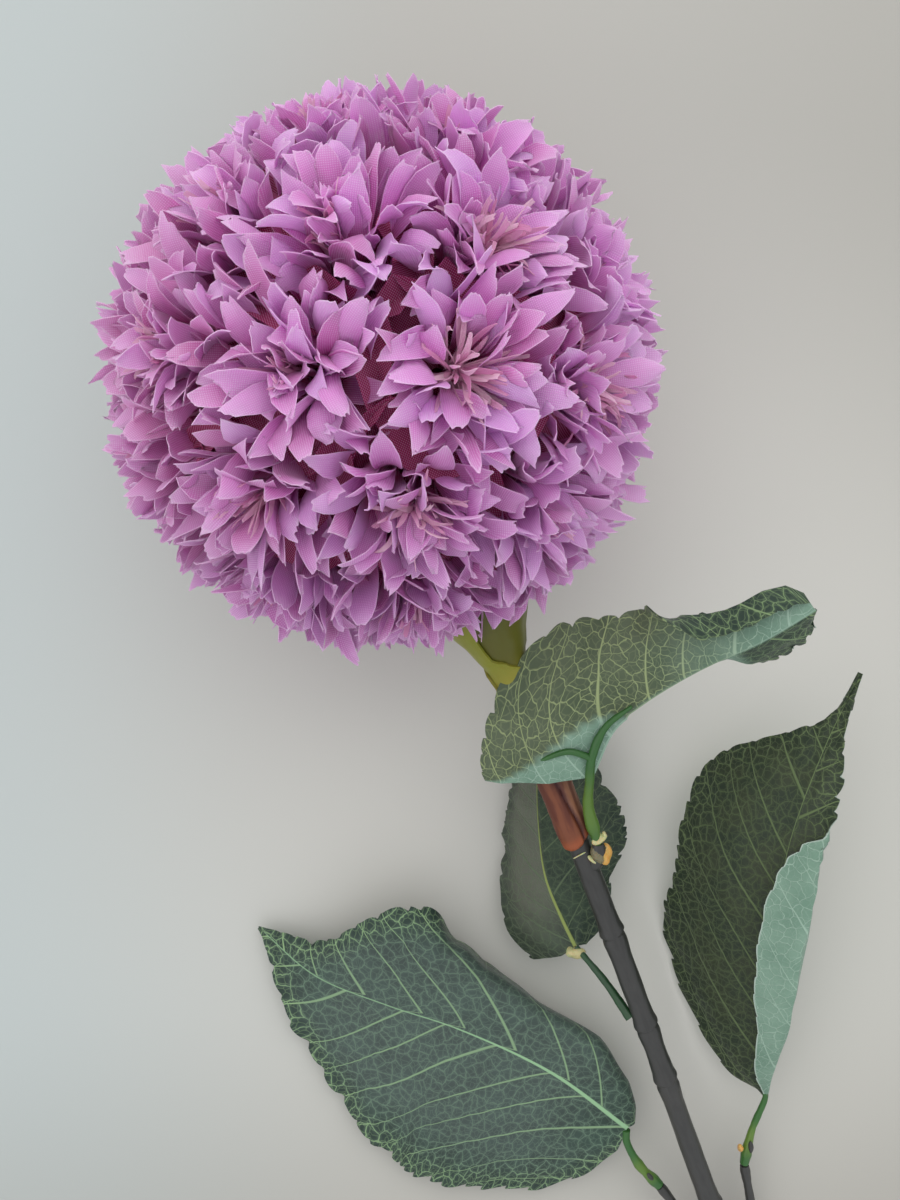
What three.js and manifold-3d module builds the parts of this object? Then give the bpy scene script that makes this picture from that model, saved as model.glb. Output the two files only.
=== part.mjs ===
// A cut stem of a large artificial allium, lying on a table: a ball of fabric florets pegged into a
// plastic core, its calyx, neck sheath, wired stem and four wired leaves. Millimetres, +Z up.
// The origin is on the table, under the ball's centre. The stem runs along -Y from the ball.
import * as THREE from 'three';
import { ConvexGeometry } from 'three/addons/geometries/ConvexGeometry.js';
import { mergeVertices } from 'three/addons/utils/BufferGeometryUtils.js';
import Module from 'manifold-3d';

// Driving dimensions.
const BALL_RADIUS = 70;
const PRESSED_FLAT = 2;
const BALL_HEIGHT = BALL_RADIUS - PRESSED_FLAT;
const CORE_RADIUS = 30;
const FLORET_COUNT = 41;
const FLORET_FOOT = CORE_RADIUS + 1;
const FIRST_FLORET_ANGLE = THREE.MathUtils.degToRad(20);
const SPIRAL_START = THREE.MathUtils.degToRad(-14);
const FLORET_GAP_ANGLE = THREE.MathUtils.degToRad(0.35);
const PEG_RADIUS = 1.8;
const PEG_DEPTH = 8;
const PEG_SIDES = 6;
const PEG_ROOT = 1;
const SOCKET_CLEARANCE = 0.35;
const SOCKET_SPARE_DEPTH = 0.5;
const WIRE_RADIUS = 1.0;
const SLEEVE_RADIUS = 3.1;
const KNUCKLE_RISE = 0.5;
const KNUCKLE_HALF_LENGTH = 3;
const KNUCKLE_CREST_HALF_LENGTH = 1;
const SHEATH_RADIUS = 4.6;
const SEAT_GAP = 0.3;
const LEAF_THICKNESS = 0.8;
const STALK_RADIUS = 1.2;
const TWIG_RADIUS = 1.5;

// Distances along the stem's line, from the ball's centre.
const WIRE_START = 18;
const CALYX_TOP = 60;
const CALYX_NECK = 91;
const SLEEVE_START = 96;
const SHEATH_START = 91.6;
const SHEATH_END = 137.5;
const KNUCKLES = [166, 197, 216, 262];

const BALL_CENTRE = new THREE.Vector3(0, 0, BALL_HEIGHT);

// The stem's line: down from the ball's centre to the cut end, with the slight bow of a bent wire.
const STEM_LINE = new THREE.CatmullRomCurve3([
  BALL_CENTRE,
  new THREE.Vector3(1.9, -57, 55.6),
  new THREE.Vector3(3.3, -113, 43.5),
  new THREE.Vector3(2.9, -184, 28),
  new THREE.Vector3(1.5, -250, 13.6),
  new THREE.Vector3(1.0, -301, 3.3),
]);
const STEM_LENGTH = STEM_LINE.getLength();

const COLOURS = {
  petal: 0xbd78b4,
  core: 0x5a1420,
  calyx: 0x7d8424,
  sheath: 0x96543c,
  stem: 0x4b4646,
  steel: 0x9a9a98,
  leaf: 0x3c5f50,
  stalk: 0x4c8a3a,
  glue: 0xd8c88a,
};

const wasm = await Module();
wasm.setup();

// A closed geometry as a manifold-3d solid.
function solid(geometry) {
  const bare = geometry.clone();
  for (const name of Object.keys(bare.attributes)) {
    if (name !== 'position') bare.deleteAttribute(name);
  }
  const merged = mergeVertices(bare, 1e-4);
  return new wasm.Manifold(new wasm.Mesh({
    numProp: 3,
    vertProperties: merged.attributes.position.array,
    triVerts: new Uint32Array(merged.index.array),
  }));
}

// A manifold-3d solid as a geometry.
function geometryOf(body) {
  const mesh = body.getMesh();
  const geometry = new THREE.BufferGeometry();
  geometry.setAttribute('position', new THREE.BufferAttribute(mesh.vertProperties, 3));
  geometry.setIndex(new THREE.BufferAttribute(mesh.triVerts, 1));
  geometry.computeVertexNormals();
  return geometry;
}

const part = new THREE.Group();

// Adds one named sub-part.
function add(name, geometry, color, roughness = 0.7, metalness = 0) {
  const material = new THREE.MeshStandardMaterial({ color, roughness, metalness });
  const mesh = new THREE.Mesh(geometry, material);
  mesh.name = name;
  part.add(mesh);
}

// A place on the stem's line and its direction there, at a distance from the ball's centre.
function stemPlace(distance) {
  const share = Math.min(distance / STEM_LENGTH, 1);
  return { point: STEM_LINE.getPointAt(share), along: STEM_LINE.getTangentAt(share) };
}

// Turns a geometry that stands along +Y so that it stands along a direction, and moves it.
function placed(geometry, along, point) {
  const turn = new THREE.Quaternion().setFromUnitVectors(new THREE.Vector3(0, 1, 0), along);
  return geometry.applyQuaternion(turn).translate(point.x, point.y, point.z);
}

// A round bar or a tube of constant section along a curve.
function tube(curve, outer, inner = 0, steps = 12, sides = 10) {
  const ring = (radius) => Array.from({ length: sides }, (_, i) => {
    const angle = (2 * Math.PI * i) / sides;
    return new THREE.Vector2(radius * Math.cos(angle), radius * Math.sin(angle));
  });
  const section = new THREE.Shape(ring(outer));
  if (inner > 0) section.holes.push(new THREE.Path(ring(inner).reverse()));
  return new THREE.ExtrudeGeometry(section, { steps, extrudePath: curve });
}

// The stretch of the stem's line between two distances.
function stemStretch(from, to, count = 7) {
  const points = Array.from({ length: count }, (_, i) => (
    stemPlace(from + ((to - from) * i) / (count - 1)).point
  ));
  return new THREE.CatmullRomCurve3(points);
}

// A curve through listed points.
function curveThrough(points) {
  return new THREE.CatmullRomCurve3(points.map((p) => new THREE.Vector3(...p)));
}

// --- Florets -------------------------------------------------------------------------------

const STEM_DIRECTION = STEM_LINE.getTangentAt(0);

// The florets' directions: a spiral round the stem's line that leaves room for the calyx.
function floretDirections() {
  const turn = new THREE.Quaternion().setFromUnitVectors(
    new THREE.Vector3(0, 1, 0),
    STEM_DIRECTION,
  );
  const goldenAngle = Math.PI * (3 - Math.sqrt(5));
  const top = Math.cos(FIRST_FLORET_ANGLE);
  return Array.from({ length: FLORET_COUNT }, (_, i) => {
    const height = top - ((i + 0.5) * (top + 1)) / FLORET_COUNT;
    const reach = Math.sqrt(1 - height * height);
    const angle = SPIRAL_START + i * goldenAngle;
    const direction = new THREE.Vector3(reach * Math.cos(angle), height, reach * Math.sin(angle));
    return direction.applyQuaternion(turn);
  });
}

// Keeps the part of a polygon where value(point) is not negative.
function clipped(polygon, value) {
  const kept = [];
  polygon.forEach((point, i) => {
    const next = polygon[(i + 1) % polygon.length];
    const here = value(point);
    const there = value(next);
    if (here >= 0) kept.push(point);
    if (here * there < 0) kept.push(point.clone().lerp(next, here / (here - there)));
  });
  return kept;
}

// A direction that no floret points along, to turn each cell's frame by.
const CELL_UP = new THREE.Vector3(0.3, 0.5, 0.8);

// The cell of directions nearer to one floret than to its neighbours, as points on the plane
// that touches the unit sphere at the floret's direction.
function floretCell(direction, others) {
  const frame = new THREE.Matrix4().lookAt(new THREE.Vector3(), direction, CELL_UP);
  const [side, up] = [0, 1].map((column) => new THREE.Vector3().setFromMatrixColumn(frame, column));
  const start = [[1, 1], [-1, 1], [-1, -1], [1, -1]].map(([x, y]) => (
    direction.clone().addScaledVector(side, x).addScaledVector(up, y)
  ));
  return others.reduce((cell, other) => {
    const across = direction.clone().sub(other).normalize();
    return clipped(cell, (point) => point.dot(across) - Math.sin(FLORET_GAP_ANGLE));
  }, start);
}

const BALL_BODY = solid(new THREE.SphereGeometry(BALL_RADIUS, 24, 16));
const PAST_THE_BALL = BALL_RADIUS + 10;
const TABLE_SIZE = 400;
const ABOVE_TABLE = solid(
  new THREE.BoxGeometry(TABLE_SIZE, TABLE_SIZE, TABLE_SIZE)
    .translate(0, 0, TABLE_SIZE / 2 - BALL_HEIGHT),
);

// One floret's space: a domed wedge of petals on a stalk that plugs into the core.
function floret(direction, others) {
  const cell = floretCell(direction, others);
  const corners = [FLORET_FOOT, PAST_THE_BALL].flatMap((reach) => (
    cell.map((point) => point.clone().multiplyScalar(reach))
  ));
  const pegEnds = [CORE_RADIUS - PEG_DEPTH, FLORET_FOOT + PEG_ROOT];
  const peg = placed(
    new THREE.CylinderGeometry(PEG_RADIUS, PEG_RADIUS, pegEnds[1] - pegEnds[0], PEG_SIDES),
    direction,
    direction.clone().multiplyScalar((pegEnds[0] + pegEnds[1]) / 2),
  );
  return solid(new ConvexGeometry(corners))
    .intersect(BALL_BODY)
    .intersect(ABOVE_TABLE)
    .add(solid(peg));
}

const PAST_THE_CORE = CORE_RADIUS + 4;

// The plastic core, with a socket for each floret's stalk and one for the stem's wire.
function coreBall(directions) {
  const socket = (direction, radius, bottom) => {
    const hole = new THREE.CylinderGeometry(radius, radius, PAST_THE_CORE - bottom, PEG_SIDES);
    const centre = direction.clone().multiplyScalar((PAST_THE_CORE + bottom) / 2);
    return solid(placed(hole, direction, centre));
  };
  const pegBottom = CORE_RADIUS - PEG_DEPTH - SOCKET_SPARE_DEPTH;
  const pegSockets = directions.map((direction) => (
    socket(direction, PEG_RADIUS + SOCKET_CLEARANCE, pegBottom)
  ));
  const wireSocket = socket(
    STEM_DIRECTION,
    WIRE_RADIUS + 2 * SOCKET_CLEARANCE,
    WIRE_START - SOCKET_SPARE_DEPTH,
  );
  return [...pegSockets, wireSocket].reduce(
    (body, hole) => body.subtract(hole),
    solid(new THREE.IcosahedronGeometry(CORE_RADIUS, 3)),
  );
}

function addHead() {
  const directions = floretDirections();
  directions.forEach((direction, i) => {
    const others = directions.filter((other) => other !== direction).concat(STEM_DIRECTION);
    const body = floret(direction, others);
    const name = `floret_${String(i + 1).padStart(2, '0')}`;
    add(name, geometryOf(body).translate(0, 0, BALL_HEIGHT), COLOURS.petal, 0.8);
  });
  const core = geometryOf(coreBall(directions)).translate(0, 0, BALL_HEIGHT);
  add('core_ball', core, COLOURS.core, 0.45);
}

// --- Stem ----------------------------------------------------------------------------------

// The calyx: a green cup that narrows from the petals to the neck.
function calyx() {
  const length = CALYX_NECK - CALYX_TOP;
  const bore = WIRE_RADIUS + SEAT_GAP;
  const profile = [
    [bore, 0], [4, 0], [4.2, 4], [5.2, 10], [8.3, 18], [11.4, 25], [13, length], [12, length],
    [10.2, 25], [7.1, 18], [4, 10], [bore, 6], [bore, 0],
  ].map(([radius, height]) => new THREE.Vector2(radius, height));
  const { point, along } = stemPlace(CALYX_NECK);
  return placed(new THREE.LatheGeometry(profile, 16), along.negate(), point);
}

// The stem's plastic sleeve with its knuckles.
function sleeve() {
  const bore = WIRE_RADIUS + SEAT_GAP;
  const bar = tube(stemStretch(SLEEVE_START, STEM_LENGTH), SLEEVE_RADIUS, bore, 9, 10);
  return KNUCKLES.reduce((body, distance) => {
    const { point, along } = stemPlace(distance);
    const inside = SLEEVE_RADIUS - KNUCKLE_RISE;
    const crest = SLEEVE_RADIUS + KNUCKLE_RISE;
    const profile = [
      [inside, -KNUCKLE_HALF_LENGTH],
      [SLEEVE_RADIUS, -KNUCKLE_HALF_LENGTH],
      [crest, -KNUCKLE_CREST_HALF_LENGTH],
      [crest, KNUCKLE_CREST_HALF_LENGTH],
      [SLEEVE_RADIUS, KNUCKLE_HALF_LENGTH],
      [inside, KNUCKLE_HALF_LENGTH],
      [inside, -KNUCKLE_HALF_LENGTH],
    ].map(([radius, height]) => new THREE.Vector2(radius, height));
    const ring = placed(new THREE.LatheGeometry(profile, 10), along, point);
    return body.add(solid(ring));
  }, solid(bar));
}

function addStem() {
  add('calyx', calyx(), COLOURS.calyx, 0.5);
  const wire = tube(stemStretch(WIRE_START, STEM_LENGTH), WIRE_RADIUS, 0, 16, 8);
  add('stem_wire', wire, COLOURS.steel, 0.4, 1);
  add('stem_sleeve', geometryOf(sleeve()), COLOURS.stem, 0.55);
  const sheathBore = SLEEVE_RADIUS + SEAT_GAP;
  const sheath = tube(stemStretch(SHEATH_START, SHEATH_END), SHEATH_RADIUS, sheathBore, 6, 12);
  add('neck_sheath', sheath, COLOURS.sheath, 0.6);
}

// --- Leaves --------------------------------------------------------------------------------

// The value at a share of the midrib's length, from keys that are [share, value] pairs.
function between(keys, share, ramp) {
  const after = keys.findIndex(([at]) => at >= share);
  if (after <= 0) return keys[after === 0 ? 0 : keys.length - 1][1];
  const [[at0, value0], [at1, value1]] = [keys[after - 1], keys[after]];
  return THREE.MathUtils.lerp(value0, value1, ramp(share, at0, at1));
}

function linear(keys, share) {
  return between(keys, share, (at, from, to) => (at - from) / (to - from));
}

function eased(keys, share) {
  return between(keys, share, THREE.MathUtils.smoothstep);
}

// Each half of a blade leaves the midrib at an angle (rise), then turns by another (bend) round
// a line at a share of its width (at). Widths are in mm and angles in degrees.
const LEAVES = [
  {
    name: 'leaf_1',
    sweep: -0.45,
    midrib: [
      [12.5, -115.1, 52], [22.1, -104.8, 57], [30.7, -101.3, 61],
      [47.2, -97, 69], [62.2, -95.1, 76], [75.9, -92, 82],
    ],
    left: {
      width: [
        [0, 26], [0.1, 30], [0.2, 31], [0.3, 29], [0.42, 24], [0.5, 20.5],
        [0.56, 20], [0.62, 22], [0.7, 18.5], [0.75, 17.5], [0.9, 18], [0.97, 15], [1, 8],
      ],
      rise: [[0, 20], [0.3, 10], [0.6, 5], [1, 5]],
      bend: [[0, -25], [0.5, -25], [0.68, 150], [1, 160]],
      at: [[0, 0.4], [0.6, 0.65], [1, 0.62]],
      spread: 0.2,
    },
    right: {
      width: [[0, 10], [0.1, 22], [0.3, 26], [0.5, 24], [0.7, 18], [0.85, 14], [0.95, 8], [1, 1]],
      rise: [[0, -112], [0.6, -105], [0.72, -60], [1, -50]],
      bend: [[0, -15], [1, -15]],
      at: [[0, 0.5], [1, 0.5]],
      spread: 0.3,
    },
  },
  {
    name: 'leaf_2',
    sweep: -0.4,
    midrib: [
      [-8.1, -166.4, 19], [-8.8, -157, 20], [-8.7, -143.5, 21],
      [-4.4, -127, 20], [0.6, -114.2, 16], [9, -92, 8],
    ],
    left: {
      width: [
        [0, 6], [0.05, 17], [0.12, 20], [0.3, 20], [0.5, 18], [0.7, 12], [0.85, 6], [1, 0.6],
      ],
      rise: [[0, -30], [0.15, -36], [0.4, -58], [1, -58]],
      bend: [[0, -6], [1, -6]],
      at: [[0, 0.5], [1, 0.5]],
      spread: 0.3,
    },
    right: {
      width: [
        [0, 3], [0.05, 9], [0.12, 14], [0.25, 22], [0.4, 27], [0.55, 25], [0.7, 18],
        [0.85, 8], [1, 0.6],
      ],
      rise: [[0, -5], [1, -5]],
      bend: [[0, -15], [1, -15]],
      at: [[0, 0.5], [1, 0.5]],
      spread: 0.3,
    },
  },
  {
    name: 'leaf_3',
    sweep: -0.4,
    midrib: [
      [-13.7, -225.4, 12], [-28.8, -199.1, 17], [-49.7, -176.6, 18],
      [-66.7, -163.8, 15], [-85.2, -148.9, 9], [-97.1, -130.5, 3],
    ],
    left: {
      width: [
        [0, 8], [0.04, 20], [0.1, 34], [0.2, 45.5], [0.3, 50.5], [0.42, 52],
        [0.52, 50], [0.62, 44.5], [0.72, 34], [0.8, 21.5], [0.87, 11.5], [0.94, 4], [1, 0.6],
      ],
      rise: [[0, -12], [1, -12]],
      bend: [[0, -4], [1, -4]],
      at: [[0, 0.5], [1, 0.5]],
      spread: 0.3,
    },
    right: {
      width: [
        [0, 5], [0.04, 15], [0.1, 26], [0.2, 33], [0.3, 33], [0.45, 36.5],
        [0.52, 37], [0.58, 34], [0.66, 31], [0.74, 22], [0.8, 14.5], [0.87, 8], [0.94, 4],
        [1, 0.6],
      ],
      rise: [[0, 15], [1, 15]],
      bend: [[0, -125], [0.54, -112], [0.64, -15], [1, -10]],
      at: [
        [0, 0.45], [0.1, 0.42], [0.2, 0.48], [0.3, 0.45], [0.45, 0.49], [0.52, 0.6],
        [0.58, 0.82],
      ],
      spread: 0.3,
    },
  },
  {
    name: 'leaf_4',
    sweep: -0.3,
    midrib: [
      [28.9, -231.5, 12], [30.8, -219.2, 17], [39.3, -196.5, 26],
      [46.5, -180.5, 32], [57.4, -157.8, 37], [77.1, -134.8, 38], [94.8, -119.5, 36],
    ],
    left: {
      width: [
        [0, 2], [0.05, 10], [0.1, 16], [0.2, 29], [0.3, 37], [0.42, 36], [0.52, 34.5],
        [0.62, 34.5], [0.7, 33], [0.75, 28], [0.8, 18], [0.84, 9], [0.88, 3], [0.93, 1.2],
        [1, 0.6],
      ],
      rise: [[0, -38], [1, -38]],
      bend: [[0, -14], [1, -14]],
      at: [[0, 0.5], [1, 0.5]],
      spread: 0.3,
    },
    right: {
      width: [
        [0, 2], [0.1, 10.4], [0.2, 17], [0.3, 21.8], [0.42, 23.5], [0.5, 24.6], [0.56, 22.6],
        [0.6, 20.2], [0.63, 17], [0.67, 12], [0.7, 10], [0.8, 6.8], [0.87, 3.4], [0.94, 1.5],
        [1, 0.6],
      ],
      rise: [[0, 45], [1, 40]],
      bend: [[0, 165], [0.65, 165], [0.71, 0], [1, 0]],
      at: [
        [0, 0.45], [0.2, 0.5], [0.3, 0.46], [0.42, 0.44], [0.5, 0.46], [0.56, 0.5], [0.6, 0.55],
        [0.63, 0.63], [0.67, 0.88],
      ],
      spread: 0.3,
    },
  },
];
const SWEEP_END = 0.3;
const SECTION_STEPS = 32;
const BLADE_STEPS_ACROSS = 16;
const BLADE_STEPS_ALONG = 14;
const NORMAL_STEP = 0.01;

// How far a half's section runs sideways and upwards, from the midrib to a share of its width.
function sectionReach(half, along, across) {
  const width = linear(half.width, along);
  const rise = THREE.MathUtils.degToRad(eased(half.rise, along));
  const bend = THREE.MathUtils.degToRad(eased(half.bend, along));
  const at = eased(half.at, along);
  const step = across / SECTION_STEPS;
  const reach = { sideways: 0, upwards: 0 };
  for (let i = 0; i < SECTION_STEPS; i += 1) {
    const turned = THREE.MathUtils.smoothstep(
      (i + 0.5) * step,
      at - half.spread / 2,
      at + half.spread / 2,
    );
    const angle = rise + bend * turned;
    reach.sideways += Math.cos(angle) * step * width;
    reach.upwards += Math.sin(angle) * step * width;
  }
  return reach;
}

// A point on a blade. across runs from -1 at the left margin to 1 at the right one.
function bladePoint(leaf, midrib, along, across) {
  const point = midrib.getPointAt(along);
  const forward = midrib.getTangentAt(along);
  const up = new THREE.Vector3(0, 0, 1).addScaledVector(forward, -forward.z).normalize();
  const side = forward.clone().cross(up);
  const half = across < 0 ? leaf.left : leaf.right;
  const share = Math.abs(across);
  const reach = sectionReach(half, along, share);
  const sweep = leaf.sweep * (1 - THREE.MathUtils.smoothstep(along, 0, SWEEP_END));
  return point
    .addScaledVector(side, Math.sign(across) * reach.sideways)
    .addScaledVector(up, reach.upwards)
    .addScaledVector(forward, sweep * share * linear(half.width, along));
}

// A blade's normal, from its neighbouring points.
function bladeNormal(leaf, midrib, along, across) {
  const [a0, a1] = [Math.max(along - NORMAL_STEP, 0), Math.min(along + NORMAL_STEP, 1)];
  const [c0, c1] = [Math.max(across - NORMAL_STEP, -1), Math.min(across + NORMAL_STEP, 1)];
  const lengthwise = bladePoint(leaf, midrib, a1, across).sub(bladePoint(leaf, midrib, a0, across));
  const crosswise = bladePoint(leaf, midrib, along, c1).sub(bladePoint(leaf, midrib, along, c0));
  return crosswise.cross(lengthwise).normalize();
}

// A blade as a thin closed solid: a flat slab whose points are moved onto the curved blade.
function blade(leaf) {
  const midrib = curveThrough(leaf.midrib);
  const slab = new THREE.BoxGeometry(2, 1, 1, BLADE_STEPS_ACROSS, BLADE_STEPS_ALONG);
  const position = slab.attributes.position;
  for (let i = 0; i < position.count; i += 1) {
    const across = THREE.MathUtils.clamp(position.getX(i), -1, 1);
    const along = THREE.MathUtils.clamp(position.getY(i) + 0.5, 0, 1);
    const offset = position.getZ(i) * LEAF_THICKNESS;
    const point = bladePoint(leaf, midrib, along, across);
    point.addScaledVector(bladeNormal(leaf, midrib, along, across), offset);
    position.setXYZ(i, point.x, point.y, point.z);
  }
  return slab;
}

// Each leaf's green stalk, from its holder up to its blade. The first runs on under its blade.
const STALKS = {
  stalk_1: [
    [7.5, -140.6, 40.2], [8.3, -133, 43], [9.2, -124, 47], [11.7, -116.6, 52.9],
    [14.6, -109.8, 56.8], [20.4, -103.6, 59.5], [28.4, -100.6, 62.6],
  ],
  stalk_2: [[-1.7, -187.5, 26.2], [-3.7, -178.4, 23.4], [-7.9, -167.7, 19.4]],
  stalk_3: [[-11.1, -246.6, 9.65], [-14.6, -237.6, 10.9], [-15.4, -229.2, 11.1]],
  stalk_4: [[15.3, -250.4, 8.85], [21.2, -241, 10.2], [28.3, -232.7, 11.8]],
};

// The first stalk's side rib, glued across the underside of its blade.
const SIDE_RIB = [[14.4, -110.3, 56.5], [9.1, -106.2, 57.8], [1.6, -105.8, 57]];
const SIDE_RIB_RADIUS = 0.8;

// Beads of glue at three of the leaf joints: centre and radius.
const GLUE_BEADS = {
  glue_bead_1: { centre: [10.5, -139.6, 40.0], radius: 1.5 },
  glue_bead_2: { centre: [-10.3, -169.6, 18.4], radius: 1.6 },
  glue_bead_4: { centre: [16.5, -244.2, 10.3], radius: 0.9 },
};

// The two side twigs, from the stem to their leaf's stalk.
const TWIGS = {
  twig_3: [[-3.7, -282, 7.2], [-5.6, -266, 8], [-11, -247, 9.6]],
  twig_4: [[6.3, -288, 6.1], [11.0, -272, 6.9], [15.2, -250.9, 8.8]],
};

function addLeaves() {
  LEAVES.forEach((leaf) => add(leaf.name, blade(leaf), COLOURS.leaf, 0.65));
  const rib = solid(tube(curveThrough(SIDE_RIB), SIDE_RIB_RADIUS, 0, 4, 6));
  Object.entries(STALKS).forEach(([name, points]) => {
    const stalk = tube(curveThrough(points), STALK_RADIUS, 0, 2 * points.length, 8);
    const whole = name === 'stalk_1' ? geometryOf(solid(stalk).add(rib)) : stalk;
    add(name, whole, COLOURS.stalk, 0.5);
  });
  Object.entries(GLUE_BEADS).forEach(([name, { centre, radius }]) => {
    const bead = new THREE.SphereGeometry(radius, 10, 6).translate(...centre);
    add(name, bead, COLOURS.glue, 0.3);
  });
  Object.entries(TWIGS).forEach(([name, points]) => {
    add(name, tube(curveThrough(points), TWIG_RADIUS, 0, 6, 8), COLOURS.stem, 0.55);
  });
}

addHead();
addStem();
addLeaves();

export default part;
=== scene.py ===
import math

import bpy
import numpy as np
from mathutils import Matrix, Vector


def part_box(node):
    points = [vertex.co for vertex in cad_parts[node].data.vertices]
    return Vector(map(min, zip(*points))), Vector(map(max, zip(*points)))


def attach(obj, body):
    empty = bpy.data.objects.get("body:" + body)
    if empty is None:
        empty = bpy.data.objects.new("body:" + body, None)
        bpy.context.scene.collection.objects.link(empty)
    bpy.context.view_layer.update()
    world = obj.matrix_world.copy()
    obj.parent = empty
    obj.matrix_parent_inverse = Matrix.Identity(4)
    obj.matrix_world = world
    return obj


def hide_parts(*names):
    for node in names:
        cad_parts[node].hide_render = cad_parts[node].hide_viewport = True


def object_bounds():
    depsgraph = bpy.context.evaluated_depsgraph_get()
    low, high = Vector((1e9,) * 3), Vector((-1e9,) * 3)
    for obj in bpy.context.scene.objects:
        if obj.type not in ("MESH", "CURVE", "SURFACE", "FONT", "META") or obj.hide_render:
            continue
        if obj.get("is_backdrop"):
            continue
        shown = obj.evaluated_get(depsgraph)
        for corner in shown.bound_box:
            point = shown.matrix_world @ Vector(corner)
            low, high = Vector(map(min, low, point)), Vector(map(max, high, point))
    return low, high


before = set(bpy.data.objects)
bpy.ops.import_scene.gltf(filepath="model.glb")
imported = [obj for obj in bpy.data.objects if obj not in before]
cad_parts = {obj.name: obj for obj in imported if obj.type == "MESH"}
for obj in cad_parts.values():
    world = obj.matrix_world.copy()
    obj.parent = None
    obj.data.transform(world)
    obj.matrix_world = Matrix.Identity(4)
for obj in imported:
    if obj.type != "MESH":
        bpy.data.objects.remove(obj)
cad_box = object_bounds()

MM = 0.001
DEGREE = math.pi / 180
SEED = 439
TABLE_CLEARANCE = 0.3
BALL_CENTRE = np.array(sum(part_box("core_ball"), Vector()) / 2) / MM


# --- Numbers and curves ----------------------------------------------------------------------

def smoothstep(x, low, high):
    share = np.clip((x - low) / (high - low), 0, 1)
    return share * share * (3 - 2 * share)


def linear(keys, x):
    """The value at x between (place, value) keys."""
    return np.interp(x, *zip(*keys))


def eased(keys, x):
    """As linear, with a smooth step from each key to the next."""
    value = np.full(np.shape(x), float(keys[0][1]))
    for (low, before), (high, after) in zip(keys, keys[1:]):
        value = np.where(x > low, before + (after - before) * smoothstep(x, low, high), value)
    return value


def unit(vectors):
    length = np.linalg.norm(vectors, axis=-1, keepdims=True)
    return vectors / np.maximum(length, 1e-9)


def around(sides):
    """Angles round a circle, without its end."""
    return np.linspace(0, 2 * math.pi, sides, endpoint=False)


def places_at(at, marks, line):
    """The places on a line at numbers between the marks of its points."""
    return np.stack([np.interp(at, marks, line[:, axis]) for axis in range(3)], 1)


def curve_through(points, count):
    """count places evenly spaced along a centripetal Catmull-Rom curve, and its length."""
    knots = np.array(points, float)
    padded = np.vstack([2 * knots[0] - knots[1], knots, 2 * knots[-1] - knots[-2]])
    share = np.linspace(0, 1, 65)[:, None]
    places = [knots[:1]]
    for p0, p1, p2, p3 in zip(padded, padded[1:], padded[2:], padded[3:]):
        d0, d1, d2 = (math.sqrt(np.linalg.norm(b - a)) for a, b in ((p0, p1), (p1, p2), (p2, p3)))
        leave = ((p1 - p0) / d0 - (p2 - p0) / (d0 + d1) + (p2 - p1) / d1) * d1
        arrive = ((p2 - p1) / d1 - (p3 - p1) / (d1 + d2) + (p3 - p2) / d2) * d1
        square = -3 * p1 + 3 * p2 - 2 * leave - arrive
        cube = 2 * p1 - 2 * p2 + leave + arrive
        places.append((p1 + leave * share + square * share**2 + cube * share**3)[1:])
    line = np.concatenate(places)
    reach = np.concatenate([[0], np.cumsum(np.linalg.norm(np.diff(line, axis=0), axis=1))])
    return places_at(np.linspace(0, reach[-1], count), reach, line), reach[-1]


def carried_frames(line):
    """Each place's direction along a line, and two directions across it that do not spin."""
    along = unit(np.gradient(line, axis=0))
    across = np.empty_like(along)
    start = np.array([1.0, 0, 0]) if abs(along[0, 0]) < 0.8 else np.array([0, 1.0, 0])
    across[0] = unit(start - along[0] * (start @ along[0]))
    for i in range(1, len(line)):
        across[i] = unit(across[i - 1] - along[i] * (across[i - 1] @ along[i]))
    return along, across, np.cross(along, across)


def waves(rng, at, size, pitch):
    """A smooth random wobble along a line, in the same unit as size."""
    total = np.zeros(np.shape(at))
    for octave in range(3):
        length = pitch / 2**octave * rng.uniform(0.8, 1.2)
        phase = rng.uniform(0, 2 * math.pi)
        total = total + size / 1.6**octave * np.sin(2 * math.pi * at / length + phase)
    return total


# --- Bodies ----------------------------------------------------------------------------------

# A body is a tuple: vertices in millimetres, quads, triangles, and the facts that its material
# reads, one row a vertex. The fact named blade becomes the mesh's UV map, in millimetres.
NO_TRIANGLES = np.zeros((0, 3), int)
SHARP_ANGLE = math.radians(60)


def sheet_faces(rows, columns, count):
    """The faces of count thin closed solids, each with a front grid, a back grid and a rim."""
    size = rows * columns
    number = np.arange(size).reshape(rows, columns)
    corner = number[:-1, :-1].ravel()
    front = np.stack([corner, corner + 1, corner + columns + 1, corner + columns], 1)
    here = np.concatenate([number[0, :-1], number[:-1, -1], number[-1, :0:-1], number[:0:-1, 0]])
    ahead = np.roll(here, -1)
    rim = np.stack([ahead, here, here + size, ahead + size], 1)
    one = np.concatenate([front, front[:, ::-1] + size, rim])
    return (one + 2 * size * np.arange(count)[:, None, None]).reshape(-1, 4)


def sheets(middle, thickness, **facts):
    """Thin solids on middle surfaces, (count, rows, columns, 3). The facts fit that grid."""
    count, rows, columns, _ = middle.shape
    normal = unit(np.cross(np.gradient(middle, axis=2), np.gradient(middle, axis=1)))
    half = thickness / 2 * normal
    vertices = np.stack([middle + half, middle - half], 1).reshape(-1, 3)
    for key, values in facts.items():
        numbers = (2,) if key == "blade" else ()
        grid = np.broadcast_to(values, (count, rows, columns, *numbers))
        facts[key] = np.repeat(grid[:, None], 2, axis=1).reshape(-1, *numbers)
    return vertices, sheet_faces(rows, columns, count), NO_TRIANGLES, facts


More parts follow.
